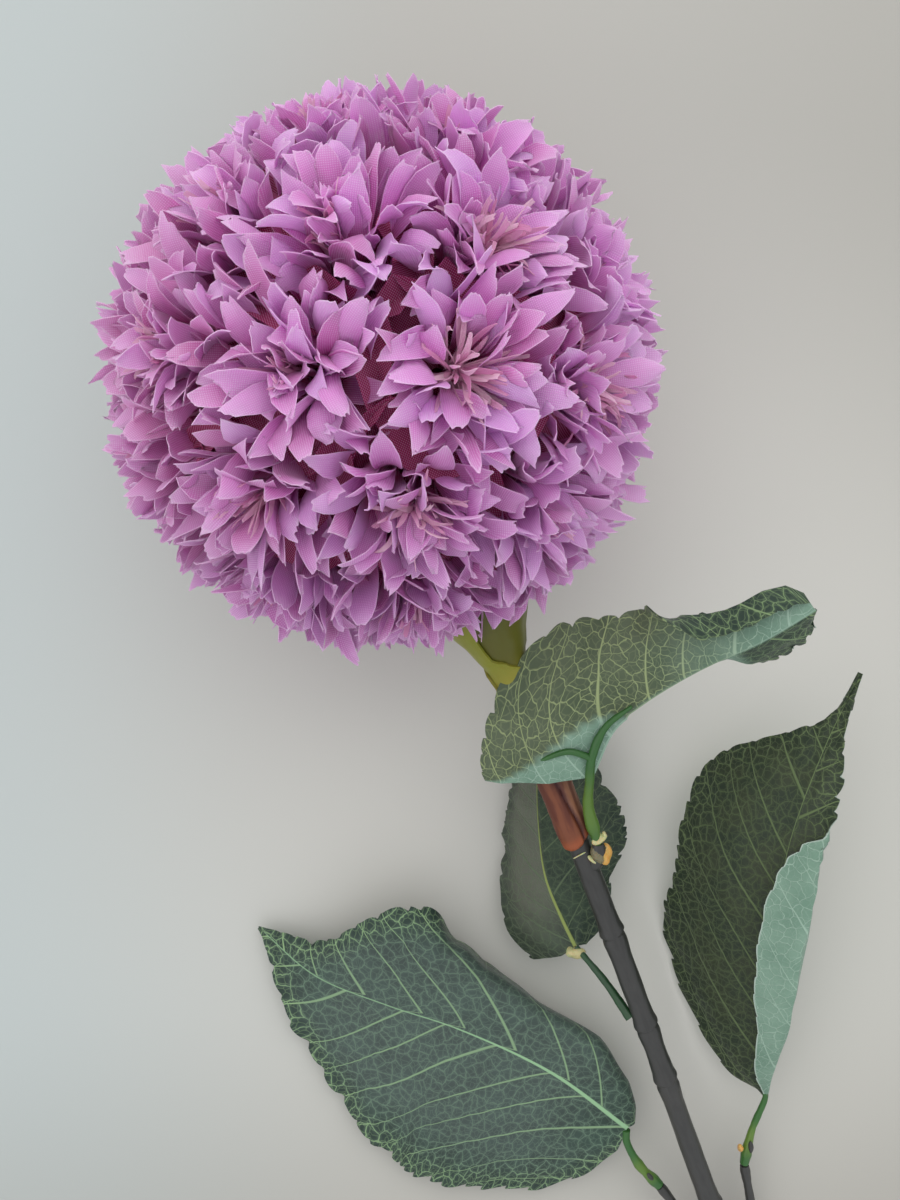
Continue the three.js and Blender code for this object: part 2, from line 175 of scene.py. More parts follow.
def rod(line, radii, sides=16, shift=0.0, **facts):
    """A closed bar round a line. The radii, the shift along the line and the facts fit the grid
    (rings, sides). The middle of each end has the least value of its ring."""
    count = len(line)

    def on_grid(values):
        return np.broadcast_to(values, (count, sides))

    along, across, up = (values[:, None] for values in carried_frames(line))
    angle = around(sides)[:, None]
    outwards = across * np.cos(angle) + up * np.sin(angle)
    rings = line[:, None] + on_grid(radii)[..., None] * outwards + along * on_grid(shift)[..., None]
    ring = np.arange(sides)
    ahead = np.roll(ring, -1)
    starts = sides * np.arange(count - 1)[:, None]
    quads = np.stack([starts + ring, starts + ahead, starts + ahead + sides, starts + ring + sides], -1)
    last = sides * (count - 1)
    foot = np.stack([np.full(sides, sides * count), ahead, ring], -1)
    head = np.stack([np.full(sides, sides * count + 1), last + ring, last + ahead], -1)
    vertices = np.concatenate([rings.reshape(-1, 3), rings[[0, -1]].mean(1)])
    for key, values in facts.items():
        facts[key] = np.append(on_grid(values), on_grid(values)[[0, -1]].min(1))
    return vertices, quads.reshape(-1, 4), np.concatenate([foot, head]), facts


DROP_RINGS, DROP_SIDES = 12, 16
DROP_POLE = math.pi / 2 - 0.12


def drop(centre, direction, size, rng, lumps=0.12, **facts):
    """A lumpy closed drop: size is its half length and half width."""
    half_length, half_width = size
    share = np.sin(np.linspace(-DROP_POLE, DROP_POLE, DROP_RINGS))[:, None]
    line = np.array(centre) + share * half_length * unit(np.array(direction, float))
    lobes = sum(
        np.sin(number * around(DROP_SIDES) + share * rng.uniform(1, 4) + rng.uniform(0, 6))
        for number in (1, 2, 3)
    )
    radii = half_width * np.sqrt(1 - share**2) * (1 + lumps * lobes / 1.5)
    return rod(line, radii, DROP_SIDES, **facts)


def joined(bodies):
    """Several bodies as one."""
    offsets = np.cumsum([0] + [len(body[0]) for body in bodies])
    vertices = np.concatenate([body[0] for body in bodies])
    quads, triangles = (
        np.concatenate([body[part] + offset for body, offset in zip(bodies, offsets)])
        for part in (1, 2)
    )
    facts = {key: np.concatenate([body[3][key] for body in bodies]) for key in bodies[0][3]}
    return vertices, quads, triangles, facts


def make_mesh(name, vertices, quads, triangles, facts):
    """A smooth mesh from a body."""
    corners = np.concatenate([quads.ravel(), triangles.ravel()]).astype(np.int32)
    sizes = np.concatenate([np.full(len(quads), 4), np.full(len(triangles), 3)])
    starts = np.concatenate([[0], np.cumsum(sizes)[:-1]]).astype(np.int32)
    mesh = bpy.data.meshes.new(name)
    mesh.vertices.add(len(vertices))
    mesh.vertices.foreach_set("co", (vertices * MM).astype(np.float32).ravel())
    mesh.loops.add(len(corners))
    mesh.loops.foreach_set("vertex_index", corners)
    mesh.polygons.add(len(sizes))
    mesh.polygons.foreach_set("loop_start", starts)
    mesh.update(calc_edges=True)
    for key, values in facts.items():
        values = values.astype(np.float32)
        if key == "blade":
            layer = mesh.uv_layers.new(name=key, do_init=False)
            layer.uv.foreach_set("vector", values[corners].ravel())
        else:
            layer = mesh.attributes.new(key, "FLOAT", "POINT")
            layer.data.foreach_set("value", values)
    mesh.set_sharp_from_angle(angle=SHARP_ANGLE)
    return mesh


def link(name, data):
    """Adds an object to the scene."""
    made = bpy.data.objects.new(name, data)
    bpy.context.scene.collection.objects.link(made)
    return made


def add_piece(name, body, material, slot, *nodes):
    """Adds a body to the object, in place of the CAD nodes that it stands for."""
    mesh = make_mesh(name, *body)
    mesh.materials.append(material)
    piece = link(name, mesh)
    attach(piece, "root")
    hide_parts(*nodes)


def recolor(node, material):
    """Gives a CAD node that keeps its shape a better material."""
    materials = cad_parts[node].data.materials
    materials.clear()
    materials.append(material)


# --- Materials -------------------------------------------------------------------------------

def rgb(color):
    """Three sRGB numbers from 0 to 255 as a linear colour. A socket stays as it is."""
    if isinstance(color, bpy.types.NodeSocket):
        return color
    values = np.array(color) / 255
    linear_values = np.where(values < 0.04045, values / 12.92, ((values + 0.055) / 1.055) ** 2.4)
    return (*linear_values, 1.0)


class Shader:
    """A material with one Principled BSDF, and short ways to add and join its nodes."""

    def __init__(self, name, **constants):
        self.material = bpy.data.materials.new(name)
        self.material.use_nodes = True
        self.tree = self.material.node_tree
        self.surface = self.tree.nodes["Principled BSDF"].inputs
        for key, value in constants.items():
            self.surface[key.replace("_", " ")].default_value = value

    def node(self, kind, inputs=None, **settings):
        made = self.tree.nodes.new("ShaderNode" + kind)
        for key, value in settings.items():
            setattr(made, key, value)
        for key, value in (inputs or {}).items():
            self.put(made.inputs[key], value)
        return made

    def put(self, socket, value):
        if isinstance(value, bpy.types.NodeSocket):
            self.tree.links.new(value, socket)
        else:
            socket.default_value = value

    def attributes(self, *names):
        return [self.node("Attribute", attribute_name=name).outputs["Fac"] for name in names]

    def math(self, operation, a, b=0.0):
        return self.node("Math", {0: a, 1: b}, operation=operation).outputs[0]

    def times(self, a, b):
        return self.math("MULTIPLY", a, b)

    def largest(self, found, *others):
        for value in others:
            found = self.math("MAXIMUM", found, value)
        return found

    def ramp(self, value, low, high, low_to=0.0, high_to=1.0):
        inputs = {"Value": value, 1: low, 2: high, 3: low_to, 4: high_to}
        return self.node("MapRange", inputs, interpolation_type="SMOOTHSTEP").outputs[0]

    def mix(self, share, a, b):
        inputs = {"Factor": share, 6: rgb(a), 7: rgb(b)}
        return self.node("Mix", inputs, data_type="RGBA").outputs[2]

    def coats(self, color, *coats):
        """A colour under coats of others. Each coat is the share that it covers and its colour."""
        for share, coat in coats:
            color = self.mix(share, color, coat)
        return color

    def vector(self, operation, a, b, output="Vector"):
        return self.node("VectorMath", {0: a, 1: b}, operation=operation).outputs[output]

    def place(self, stretch=(1, 1, 1)):
        return self.vector("MULTIPLY", self.node("TexCoord").outputs["Object"], stretch)

    def measure(self, operation, other):
        """A place's DISTANCE from another, or its DOT_PRODUCT with a direction, in metres."""
        return self.vector(operation, self.place(), other, "Value")

    def noise(self, vector, scale, detail=3.0, output="Fac"):
        inputs = {"Vector": vector, "Scale": scale, "Detail": detail}
        return self.node("TexNoise", inputs).outputs[output]

    def cell_edges(self, vector, scale):
        """The distance to the nearest cell border, in cells."""
        settings = {"voronoi_dimensions": "2D", "feature": "DISTANCE_TO_EDGE"}
        inputs = {"Vector": vector, "Scale": scale}
        return self.node("TexVoronoi", inputs, **settings).outputs["Distance"]

    def blade(self):
        return self.node("UVMap", uv_map="blade").outputs[0]

    def weave(self, pitch):
        """Crossing threads, from 0 to 1. One wave band is 2 pi / 20 of the texture's unit wide."""
        scale = 2 * math.pi / 20 / pitch
        inputs = {"Vector": self.blade(), "Scale": scale, "Distortion": 0.6, "Detail": 1.0}
        warp, weft = (
            self.node("TexWave", inputs, bands_direction=way).outputs["Fac"] for way in ("X", "Y")
        )
        return self.times(warp, weft)

    def finished(self, color, roughness, bumps, height, strength=0.5):
        """The material, with its colour, its roughness and bumps of a height in metres."""
        self.put(self.surface["Base Color"], color)
        self.put(self.surface["Roughness"], roughness)
        inputs = {"Height": bumps, "Distance": height, "Strength": strength}
        self.put(self.surface["Normal"], self.node("Bump", inputs).outputs[0])
        return self.material


WEAVE_PITCH = 0.45
FINE_CELL = 1.8
# Painted light on the petals: a duller, pinker cast on one side of the ball stands in for warm side
# light, the other side is painted lighter, and painted shade darkens them towards the stem.
PAINTED_LIGHT_SIDE = (-0.93, 0.37, 0)
PAINTED_SHADE_SIDE = (-0.37, -0.93, 0)


def petal_material():
    """Mauve satin cut from a woven sheet: darker at the foot, pale and frayed at the cut edge."""
    s = Shader(
        "mauve_satin", Sheen_Weight=0.3, Sheen_Roughness=0.35, Sheen_Tint=(1, 0.86, 1, 1),
        Specular_IOR_Level=0.3, Subsurface_Weight=0.4, Subsurface_Scale=0.002,
        Subsurface_Radius=(1.0, 0.5, 0.85),
    )
    tone, along, edge, fringe = s.attributes("tone", "along", "edge_mm", "fringe")
    weave = s.weave(WEAVE_PITCH)
    side, shade_side = (s.measure("DOT_PRODUCT", way) for way in (PAINTED_LIGHT_SIDE, PAINTED_SHADE_SIDE))
    body = s.coats(
        (210, 112, 180),
        (s.ramp(tone, 0.0, 0.5), (226, 134, 212)),
        (s.ramp(tone, 0.5, 1.0), (230, 158, 234)),
        # Painted light: a duller, pinker cast on this side stands in for warm side light.
        (s.ramp(side, 0.0, 0.07, 0, 0.5), (206, 132, 166)),
        # Painted shade: the petals are darker towards the stem.
        (s.ramp(shade_side, 0.01, 0.07, 0, 0.55), (166, 96, 150)),
        # Painted highlight: the other side of the ball is painted lighter.
        (s.ramp(side, -0.02, -0.07, 0, 0.5), (240, 180, 236)),
    )
    body = s.mix(s.ramp(along, 0.1, 0.6), (204, 48, 134), body)
    # Painted shade: the cones' cloth (along -1) is a deeper magenta than a petal's foot, for the shade
    # in the gaps between florets.
    body = s.mix(s.ramp(along, -1.0, 0.0), (164, 28, 88), body)
    color = s.coats(
        body,
        (s.ramp(along, 0.75, 1.0, 0, 0.35), (242, 190, 240)),
        (s.ramp(edge, 0.35, 0.0, 0, 0.3), (250, 218, 246)),
        (s.times(weave, 0.5), (246, 212, 246)),
        (fringe, s.mix(tone, (204, 128, 166), (240, 188, 210))),
    )
    return s.finished(color, s.ramp(weave, 0, 1, 0.62, 0.5), weave, 0.0001, 0.7)


def core_material():
    s = Shader("dark_red_plastic", Specular_IOR_Level=0.4)
    grain = s.noise(s.place(), 180)
    color = s.mix(grain, (140, 20, 38), (196, 40, 60))
    return s.finished(color, s.ramp(grain, 0.2, 0.8, 0.3, 0.5), grain, 0.0002, 0.4)


def leaf_upper(s, colors, net, rib, side, cells, edge, bloom, blotch):
    """A leaf's printed side: blotched cells, a painted grey sheen in places, and a net of veins."""
    cell, deep, vein, midrib, margin_vein, sheen_color = colors
    return s.coats(
        deep,
        (s.ramp(blotch, 0.35, 0.65), cell),
        (s.ramp(edge, 14.0, 1.0, 0, 0.75), deep),
        (s.ramp(cells, 0.3, 0.0, 0, 0.18), vein),
        # Painted sheen: a dull grey sheen painted where the blade catches the light.
        (s.times(bloom, 0.55), sheen_color),
        (s.times(net, 0.8), s.mix(s.ramp(edge, 11.0, 2.0), vein, margin_vein)),
        (s.times(side, 0.5), margin_vein),
        (rib, midrib),
    )


def leaf_under(s, net, edge, pale, blotch):
    """A leaf's underside: from a plain olive, painted shade with the print showing through, to a paler
    green as lit, with a light margin.
    """
    blotches = s.ramp(blotch, 0.3, 0.7)
    olive = s.coats(
        (74, 88, 64),
        (blotches, (88, 100, 76)),
        (s.times(net, 0.9), (156, 170, 120)),
    )
    green = s.coats(
        (110, 142, 122),
        (blotches, (128, 158, 138)),
        (s.times(net, 0.7), (166, 194, 174)),
        (s.ramp(edge, 0.5, 0.1, 0, 0.7), (194, 208, 196)),
    )
    # Painted light and shade: pale picks the lit green over the olive painted as shade.
    return s.mix(pale, olive, green)


def leaf_material(name, rib_size, cell_size, colors):
    """Printed cloth, with coarse and fine cells between raised side veins and a midrib."""
    s = Shader(name, Specular_IOR_Level=0.3, Sheen_Weight=0.12, Sheen_Roughness=0.4)
    across, along, share, phase, edge, under, pale, bloom = s.attributes(
        "across_mm", "along", "share", "phase", "edge_mm", "under", "pale", "bloom",
    )
    wander = s.vector("SUBTRACT", s.noise(s.blade(), 0.3, 2.0, "Color"), (0.5, 0.5, 0.5))
    place = s.vector("ADD", s.blade(), s.vector("MULTIPLY", wander, (2.4, 2.4, 0)))
    cells = s.cell_edges(place, 1 / cell_size)
    coarse = s.ramp(cells, 0.058, 0.02)
    fine = s.ramp(s.cell_edges(place, 1 / FINE_CELL), 0.1, 0.03)
    side_width = s.ramp(share, 0.0, 1.0, 0.042, 0.018)
    side = s.ramp(s.math("PINGPONG", phase, 0.5), side_width, s.times(side_width, 0.4))
    rib_width = s.ramp(along, -0.1, 0.6, 1.1 * rib_size, 0.3 * rib_size)
    rib = s.ramp(s.math("ABSOLUTE", across), rib_width, s.times(rib_width, 0.6))
    rib = s.times(rib, s.ramp(along, 0.3, 0.65, 1.0, 0.7))
    near_margin = s.ramp(edge, 18.0, 4.0, 0.55, 0.88)
    net = s.largest(s.times(coarse, near_margin), s.times(fine, 0.3), side)
    under_net = s.largest(s.times(coarse, 0.85), s.times(fine, 0.2), side, s.times(rib, 0.7))
    blotch = s.noise(s.blade(), 0.09)
    color = s.mix(
        under,
        leaf_upper(s, colors, net, rib, side, cells, edge, bloom, blotch),
        leaf_under(s, under_net, edge, pale, blotch),
    )
    bumps = s.math("ADD", s.largest(net, rib), s.times(s.weave(WEAVE_PITCH), 0.12))
    return s.finished(color, s.ramp(net, 0, 1, 0.5, 0.62), bumps, 0.00022, 0.7)


def stem_material():
    """Dark grey-brown moulded plastic with fine lengthwise streaks."""
    s = Shader("stem_plastic", Specular_IOR_Level=0.5)
    streak = s.noise(s.place((1, 0.06, 1)), 900)
    patch = s.noise(s.place(), 90)
    color = s.coats(
        (30, 31, 29),
        (patch, (50, 48, 45)),
        (s.times(streak, 0.5), (80, 81, 78)),
    )
    roughness = s.ramp(streak, 0.3, 0.7, 0.28, 0.45)
    return s.finished(color, roughness, s.math("ADD", streak, patch), 0.0003)


def stalk_material():
    """Green plastic, brightest half way up, with a duller foot. tone says how yellow it is."""
    s = Shader("green_plastic", Specular_IOR_Level=0.5)
    along, tone = s.attributes("along", "tone")
    grain = s.noise(s.place((1, 0.2, 1)), 500)
    middle = s.times(s.ramp(along, 0.05, 0.3), s.ramp(along, 0.65, 0.4))
    color = s.coats(
        s.mix(grain, (30, 62, 38), (42, 80, 44)),
        (tone, s.mix(grain, (38, 88, 34), (60, 112, 46))),
        (s.times(s.times(middle, tone), 0.8), (104, 132, 44)),
    )
    return s.finished(color, s.ramp(grain, 0.3, 0.7, 0.3, 0.5), grain, 0.0002, 0.4)


def calyx_material():
    """Olive plastic sepals, yellower at the neck."""
    s = Shader(
        "olive_plastic", Specular_IOR_Level=0.45, Subsurface_Weight=0.1, Subsurface_Scale=0.001,
    )
    along, tone = s.attributes("along", "tone")
    streak = s.noise(s.place((1, 0.25, 0.6)), 260)
    color = s.coats(
        (82, 80, 14),
        # tone lightens the olive; its fall towards a sepal's lapped edge is painted shade.
        (tone, (140, 142, 44)),
        (s.ramp(along, 0.5, 0.1, 0, 0.6), (168, 154, 46)),
        (s.times(streak, 0.35), (78, 80, 14)),
    )
    return s.finished(color, s.ramp(streak, 0.3, 0.7, 0.36, 0.52), streak, 0.0003, 0.4)


def sheath_material():
    """Two brown panels with a dark groove between them and an orange rim at the lower end."""
    s = Shader("brown_plastic", Specular_IOR_Level=0.4)
    along, panel, groove = s.attributes("along", "panel", "groove")
    streak = s.noise(s.place((1, 0.12, 0.5)), 420)
    color = s.coats(
        (148, 102, 76),
        (panel, (120, 66, 40)),
        (s.times(s.ramp(streak, 0.4, 0.6), 0.75), (84, 38, 28)),
        (s.ramp(along, 0.9, 0.97, 0, 0.7), (160, 82, 44)),
        (groove, (62, 22, 26)),
    )
    return s.finished(color, s.ramp(streak, 0.3, 0.7, 0.4, 0.6), streak, 0.0004)


def glue_material():
    """Hot glue. tone says what it is: 1 amber, 0 whitish, and -1 smoky, where the stem shows."""
    s = Shader(
        "amber_glue", Specular_IOR_Level=0.5, Subsurface_Weight=0.3, Subsurface_Scale=0.002,
    )
    [tone] = s.attributes("tone")
    cloud = s.noise(s.place(), 500)
    color = s.coats(
        s.mix(cloud, (176, 178, 118), (214, 206, 158)),
        (s.ramp(tone, -0.2, -0.8), s.mix(cloud, (92, 86, 64), (140, 132, 96))),
        (tone, s.mix(cloud, (198, 136, 40), (222, 182, 104))),
    )
    return s.finished(color, s.ramp(cloud, 0.3, 0.7, 0.2, 0.4), cloud, 0.0004)


def wire_material():
    s = Shader("cut_steel", Metallic=1.0)
    grain = s.noise(s.place(), 2500)
    color = s.mix(grain, (120, 118, 114), (170, 168, 164))
    return s.finished(color, s.ramp(grain, 0.3, 0.7, 0.3, 0.5), grain, 0.00005)


# --- The stem's line -------------------------------------------------------------------------

# The stem's line and what lies along it, at the distances from the ball's centre that the CAD has.
STEM_LINE = [
    BALL_CENTRE, (1.9, -57, 55.6), (3.3, -113, 43.5), (2.9, -184, 28), (1.5, -250, 13.6),
    (1.0, -301, 3.3),
]
CALYX_NECK = 91
SHEATH_START, SHEATH_END, SHEATH_RADIUS = 91.6, 137.5, 4.6
SLEEVE_START, SLEEVE_RADIUS = 96, 3.1
KNUCKLES = (166, 197, 216, 262)
STEM_DIRECTION = unit(np.array(STEM_LINE[1]) - BALL_CENTRE)
STEM_CURVE, STEM_LENGTH = curve_through(STEM_LINE, 1200)


def stem_stretch(start, end, count):
    """Places on the stem's line between two distances from the ball's centre."""
    at = np.linspace(start, end, count) / STEM_LENGTH * (len(STEM_CURVE) - 1)
    return places_at(at, np.arange(len(STEM_CURVE)), STEM_CURVE)


# --- The ball of florets ---------------------------------------------------------------------

# Petals end at places spread evenly over the ball, and each grows from the nearest floret's foot.
PETAL_TIPS, FILLER_TIPS = 2350, 250
TIP_DISTANCE, TIP_SCATTER = 68.1, 1.7
FILLER_DISTANCES = (57, 65)
CALYX_CLEAR_ANGLE = 9 * DEGREE
FLORET_ANGLE = 18.5 * DEGREE
OPEN_ANGLE = 7.5 * DEGREE
GOLDEN_ANGLE = math.pi * (3 - math.sqrt(5))
TUFT_FOOT, TUFT_DROP = 51.5, 4.5
FOOT_SHARE, FOOT_SCATTER = 0.42, 2.2
SPLAY, SPLAY_ON_TOP = 14, 10
PETAL_ROWS, PETAL_COLUMNS, PETAL_THICKNESS = 8, 7, 0.17
STRIP_ROWS, STRIP_COLUMNS, STRIP_THICKNESS = 7, 3, 0.16
STEPS_A_ROW = 8

# How far the florets whose fringe shows are open, from 0 to 1. The others are nearly closed.
OPEN_FLORETS = {19: 1.0, 14: 1.0, 11: 0.7, 27: 0.8, 16: 0.5, 29: 0.3}
STRIPS_A_FLORET, STRIPS_IF_OPEN = 14, 32


def rows_along(rows):
    """Shares of a petal's length, closer together near its tip."""
    even = np.linspace(0, 1, rows)
    return even * (1.4 - 0.4 * even)


def centre_line(shape, rows):
    """Petals' lines in the plane of the floret's axis: reach from it, height and angle a row."""
    start, end, curl, length = (shape[key][:, 0] for key in ("start", "end", "curl", "length"))
    fine = np.linspace(0, 1, (rows - 1) * STEPS_A_ROW + 1)
    angle = start + (end - start) * fine**0.9 + curl * smoothstep(fine, 0.6, 1.0)
    middle = (angle[:, 1:] + angle[:, :-1]) / 2
    step = length / (len(fine) - 1)
    zero = np.zeros((len(angle), 1))
    reach, height = (
        np.concatenate([zero, np.cumsum(part(middle) * step, 1)], 1) for part in (np.sin, np.cos)
    )
    at = rows_along(rows)
    return (
        np.stack([np.interp(at, fine, one) for one in values])[..., None]
        for values in (reach, height, angle)
    )


def outline(v, widest, tip, fullness):
    """A petal's half width as a share of its greatest, from its narrow foot to its tip."""
    rising = 0.3 + 0.7 * smoothstep(v, -0.25, widest)
    falling = tip + (1 - tip) * (1 - np.clip((v - widest) / (1 - widest), 0, 1) ** fullness)
    return np.where(v < widest, rising, falling)


def tuft(shape, rows, columns):
    """The middle surfaces of a tuft's petals, +Z along its axis, and what their material reads."""
    v = rows_along(rows)[:, None]
    u = np.linspace(-1, 1, columns)
    reach, height, angle = centre_line(shape, rows)
    half_width = shape["half_width"] * outline(v, shape["widest"], shape["tip"], shape["fullness"])
    bend = shape["cup"] * (0.4 + 0.6 * v)
    bend = np.where(np.abs(bend) < 1e-3, 1e-3, bend)
    ripple = np.sin(2 * math.pi * (1.6 * v + shape["phase"])) * shape["ripple"] * v
    sideways = half_width * np.sin(bend * u) / bend
    lift = half_width * (1 - np.cos(bend * u)) / bend + ripple * u**2 * np.sign(u)
    turn = shape["roll"] + shape["twist"] * v
    side = sideways * np.cos(turn) - lift * np.sin(turn)
    inward = sideways * np.sin(turn) + lift * np.cos(turn)
    ahead = shape["notch"] * smoothstep(v, 0.7, 1.0)
    out = reach + ahead * np.sin(angle) - inward * np.cos(angle)
    up = height + ahead * np.cos(angle) + inward * np.sin(angle)
    azimuth = shape["azimuth"]
    x = out * np.cos(azimuth) - side * np.sin(azimuth)
    y = out * np.sin(azimuth) + side * np.cos(azimuth)
    facts = {
        "along": v,
        "edge_mm": np.minimum(half_width * (1 - np.abs(u)), shape["length"] * (1 - v)),
        "blade": np.stack([sideways, shape["length"] * v + ahead], -1),
    }
    return np.stack([x, y, up], -1) + shape["foot"], facts


def even_directions(count, jitter, rng):
    """Directions spread evenly over a sphere, each moved a little at random."""
    number = np.arange(count)
    height = 1 - (2 * number + 1) / count
    reach = np.sqrt(1 - height**2)
    angle = number * GOLDEN_ANGLE
    even = np.stack([reach * np.cos(angle), reach * np.sin(angle), height], 1)
    return unit(even + rng.normal(0, jitter, even.shape))


def petal_tips(directions, rng):
    """Where the petals end, from the ball's centre, and the number of each one's floret."""
    tips = np.concatenate([
        even_directions(PETAL_TIPS, 0.028, rng), even_directions(FILLER_TIPS, 0.06, rng),
    ])
    distance = np.concatenate([
        rng.normal(TIP_DISTANCE, TIP_SCATTER, PETAL_TIPS),
        rng.uniform(*FILLER_DISTANCES, FILLER_TIPS),
    ])
    nearness = tips @ directions.T
    owner = np.argmax(nearness + rng.normal(0, 0.03, nearness.shape), axis=1)
    openness = np.array([OPEN_FLORETS.get(index + 1, 0) for index in range(len(directions))])
    from_axis = np.arccos(np.clip(nearness[np.arange(len(tips)), owner], -1, 1))
    clear_of_fringe = from_axis > OPEN_ANGLE * openness[owner]
    kept = clear_of_fringe & (tips @ STEM_DIRECTION < math.cos(CALYX_CLEAR_ANGLE))
    return (tips * distance[:, None])[kept], owner[kept]


def draws(rng, count):
    """Two ways to draw a number for each of count petals: about 0, and between two numbers."""
    def spread(size):
        return rng.normal(0, size, (count, 1, 1))

    def between(low, high):
        return rng.uniform(low, high, (count, 1, 1))

    return spread, between


def petal_shapes(rng, tips, splay):
    """Random shapes for one floret's petals, which end at tips in the floret's own frame."""
    spread, between = draws(rng, len(tips))
    out = np.arctan2(np.hypot(tips[:, 0], tips[:, 1]), tips[:, 2]) / FLORET_ANGLE
    foot = FOOT_SHARE * tips + rng.normal(0, FOOT_SCATTER, tips.shape)
    foot[:, 2] = TUFT_FOOT - TUFT_DROP * np.minimum(out, 1.2) + spread(0.5).ravel()
    x, y, rise = (tips - foot).T[..., None, None]
    reach = np.hypot(x, y)
    lean = np.arctan2(reach, rise)
    bow = (splay + spread(13)) * DEGREE
    bow = np.where(np.abs(bow) < 0.02, 0.02, bow)
    kind = between(0, 1)
    jagged, cut = kind < 0.26, kind < 0.4
    blunt = (kind > 0.4) & (kind < 0.58)
    slant = between(-1.8, 1.8) * cut
    jags = rng.uniform(-1.2, 0.5, (len(tips), 1, PETAL_COLUMNS)) * np.where(jagged, 1.0, 0.42)
    return {
        "foot": foot[:, None, None],
        "azimuth": np.arctan2(y, x),
        "start": lean - bow,
        "end": lean + bow,
        "curl": (spread(22) + splay - 8) * DEGREE,
        "length": np.hypot(reach, rise) * bow / np.sin(bow),
        "half_width": between(2.8, 4.1),
        "widest": between(0.58, 0.8),
        "tip": np.where(cut, between(0.25, 0.6), np.where(blunt, 0.3, between(0.05, 0.15))),
        "fullness": np.where(blunt, 2.6, between(1.1, 1.9)),
        "cup": np.where(between(0, 1) < 0.62, between(0.3, 1.2), between(-1.0, -0.2)),
        "phase": between(0, 1),
        "ripple": between(0.1, 0.7),
        "roll": spread(27) * DEGREE,
        "twist": spread(30) * DEGREE,
        "notch": slant * np.linspace(-1, 1, PETAL_COLUMNS) + jags,
    }


def strip_shapes(rng, count, openness):
    """The random shapes of the narrow strips in a floret's middle."""
    spread, between = draws(rng, count)
    lean = 22 + 30 * openness
    return {
        "foot": np.stack([spread(1.0), spread(1.0), 53 + spread(0.8)], -1),
        "azimuth": between(0, 2 * math.pi),
        "start": between(0, lean) * DEGREE,
        "end": (between(0, 2 * lean) + 4) * DEGREE,
        "curl": spread(35) * DEGREE,
        "length": between(10, 15) + 3 * openness,
        "half_width": between(0.45, 0.8),
        "widest": between(0.4, 0.8),
        "tip": between(0.2, 0.9),
        "fullness": between(1.2, 2.5),
        "cup": between(-0.5, 0.5),
        "phase": between(0, 1),
        "ripple": between(0, 0.2),
        "roll": spread(30) * DEGREE,
        "twist": spread(50) * DEGREE,
        "notch": rng.uniform(-0.8, 0.8, (count, 1, STRIP_COLUMNS)),
    }


# The joined middle of a floret's die-cut layers: a ragged cone, as reach and height keys.
CONE_PROFILE = [(1.6, 42.0), (2.4, 45.0), (7.0, 48.0), (13.0, 50.6), (21.5, 53.2)]
CONE_SIDES = 25
CONE_TURN = 2 * math.pi * 1.02


def cone_surface(rng):
    """The cone's middle surface, closed on itself with a small lap, and what its material reads:
    its cloth is painted darker than a petal's foot, as shade in the gaps between florets, and has no
    pale edge."""
    reach, height = np.array(CONE_PROFILE).T[..., None]
    angle = np.linspace(0, CONE_TURN, CONE_SIDES)
    share = (reach - reach[0]) / (reach[-1] - reach[0])
    wide = reach * (1 + 0.12 * share * rng.uniform(-1, 1, CONE_SIDES))
    lap = 0.3 * angle / (2 * math.pi)
    tall = height + lap + 0.8 * share * np.sin(5 * angle + rng.uniform(0, 6))
    middle = np.stack([wide * np.cos(angle), wide * np.sin(angle), tall], -1)[None]
    return middle, {"along": -1.0, "edge_mm": 1.0, "blade": middle[..., :2]}


def above_table(points, clearance=TABLE_CLEARANCE, softness=0.5):
    """Lays what would reach below the table on it."""
    height = (points[..., 2] - clearance) / softness
    lifted = np.where(height > 20, height, np.log1p(np.exp(np.minimum(height, 20))))
    return np.concatenate([points[..., :2], (clearance + softness * lifted)[..., None]], -1)


def floret_direction(node):
    """A floret's direction from the ball's centre: that of its peg's inner end."""
    corners = np.array([vertex.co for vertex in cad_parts[node].data.vertices]) / MM
    from_centre = corners - BALL_CENTRE
    reach = np.linalg.norm(from_centre, axis=1)
    return unit(from_centre[reach < reach.min() + 1].mean(0))


def cloth(middle, facts, thickness, fringe, rng):
    """Sheets of the petals' cloth, each with a tone of its own."""
    tone = rng.uniform(0, 1, (len(middle), 1, 1))
    return sheets(middle, thickness, tone=tone, fringe=fringe, **facts)


def add_floret(number, direction, tips, material):
    """One floret's petals, fringe and cone, as one mesh in place of its CAD wedge."""
    rng = np.random.default_rng(SEED + number)
    openness = OPEN_FLORETS.get(number, 0)
    splay = SPLAY + SPLAY_ON_TOP * smoothstep(direction[2], 0.3, 0.95)
    turn = np.array(Vector(direction).to_track_quat("Z", "Y").to_matrix())
    strips = strip_shapes(rng, STRIPS_A_FLORET + round(STRIPS_IF_OPEN * openness), openness)
    cone = cone_surface(rng)
    petals = petal_shapes(rng, tips @ turn, splay)
    vertices, *rest = joined([
        cloth(*tuft(petals, PETAL_ROWS, PETAL_COLUMNS), PETAL_THICKNESS, 0.0, rng),
        cloth(*tuft(strips, STRIP_ROWS, STRIP_COLUMNS), STRIP_THICKNESS, 1.0, rng),
        cloth(*cone, PETAL_THICKNESS, 0.0, rng),
    ])
    body = (above_table(vertices @ turn.T + BALL_CENTRE), *rest)
    add_piece(f"petals_{number:02d}", body, material, "petal_fabric", f"floret_{number:02d}")


def add_ball():
    material = petal_material()
    florets = sorted(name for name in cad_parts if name.startswith("floret_"))
    directions = np.array([floret_direction(name) for name in florets])
    tips, owner = petal_tips(directions, np.random.default_rng(SEED))
    for index, direction in enumerate(directions):
        add_floret(index + 1, direction, tips[owner == index], material)
    recolor("core_ball", core_material())


# --- Sleeve, sheath and calyx ----------------------------------------------------------------

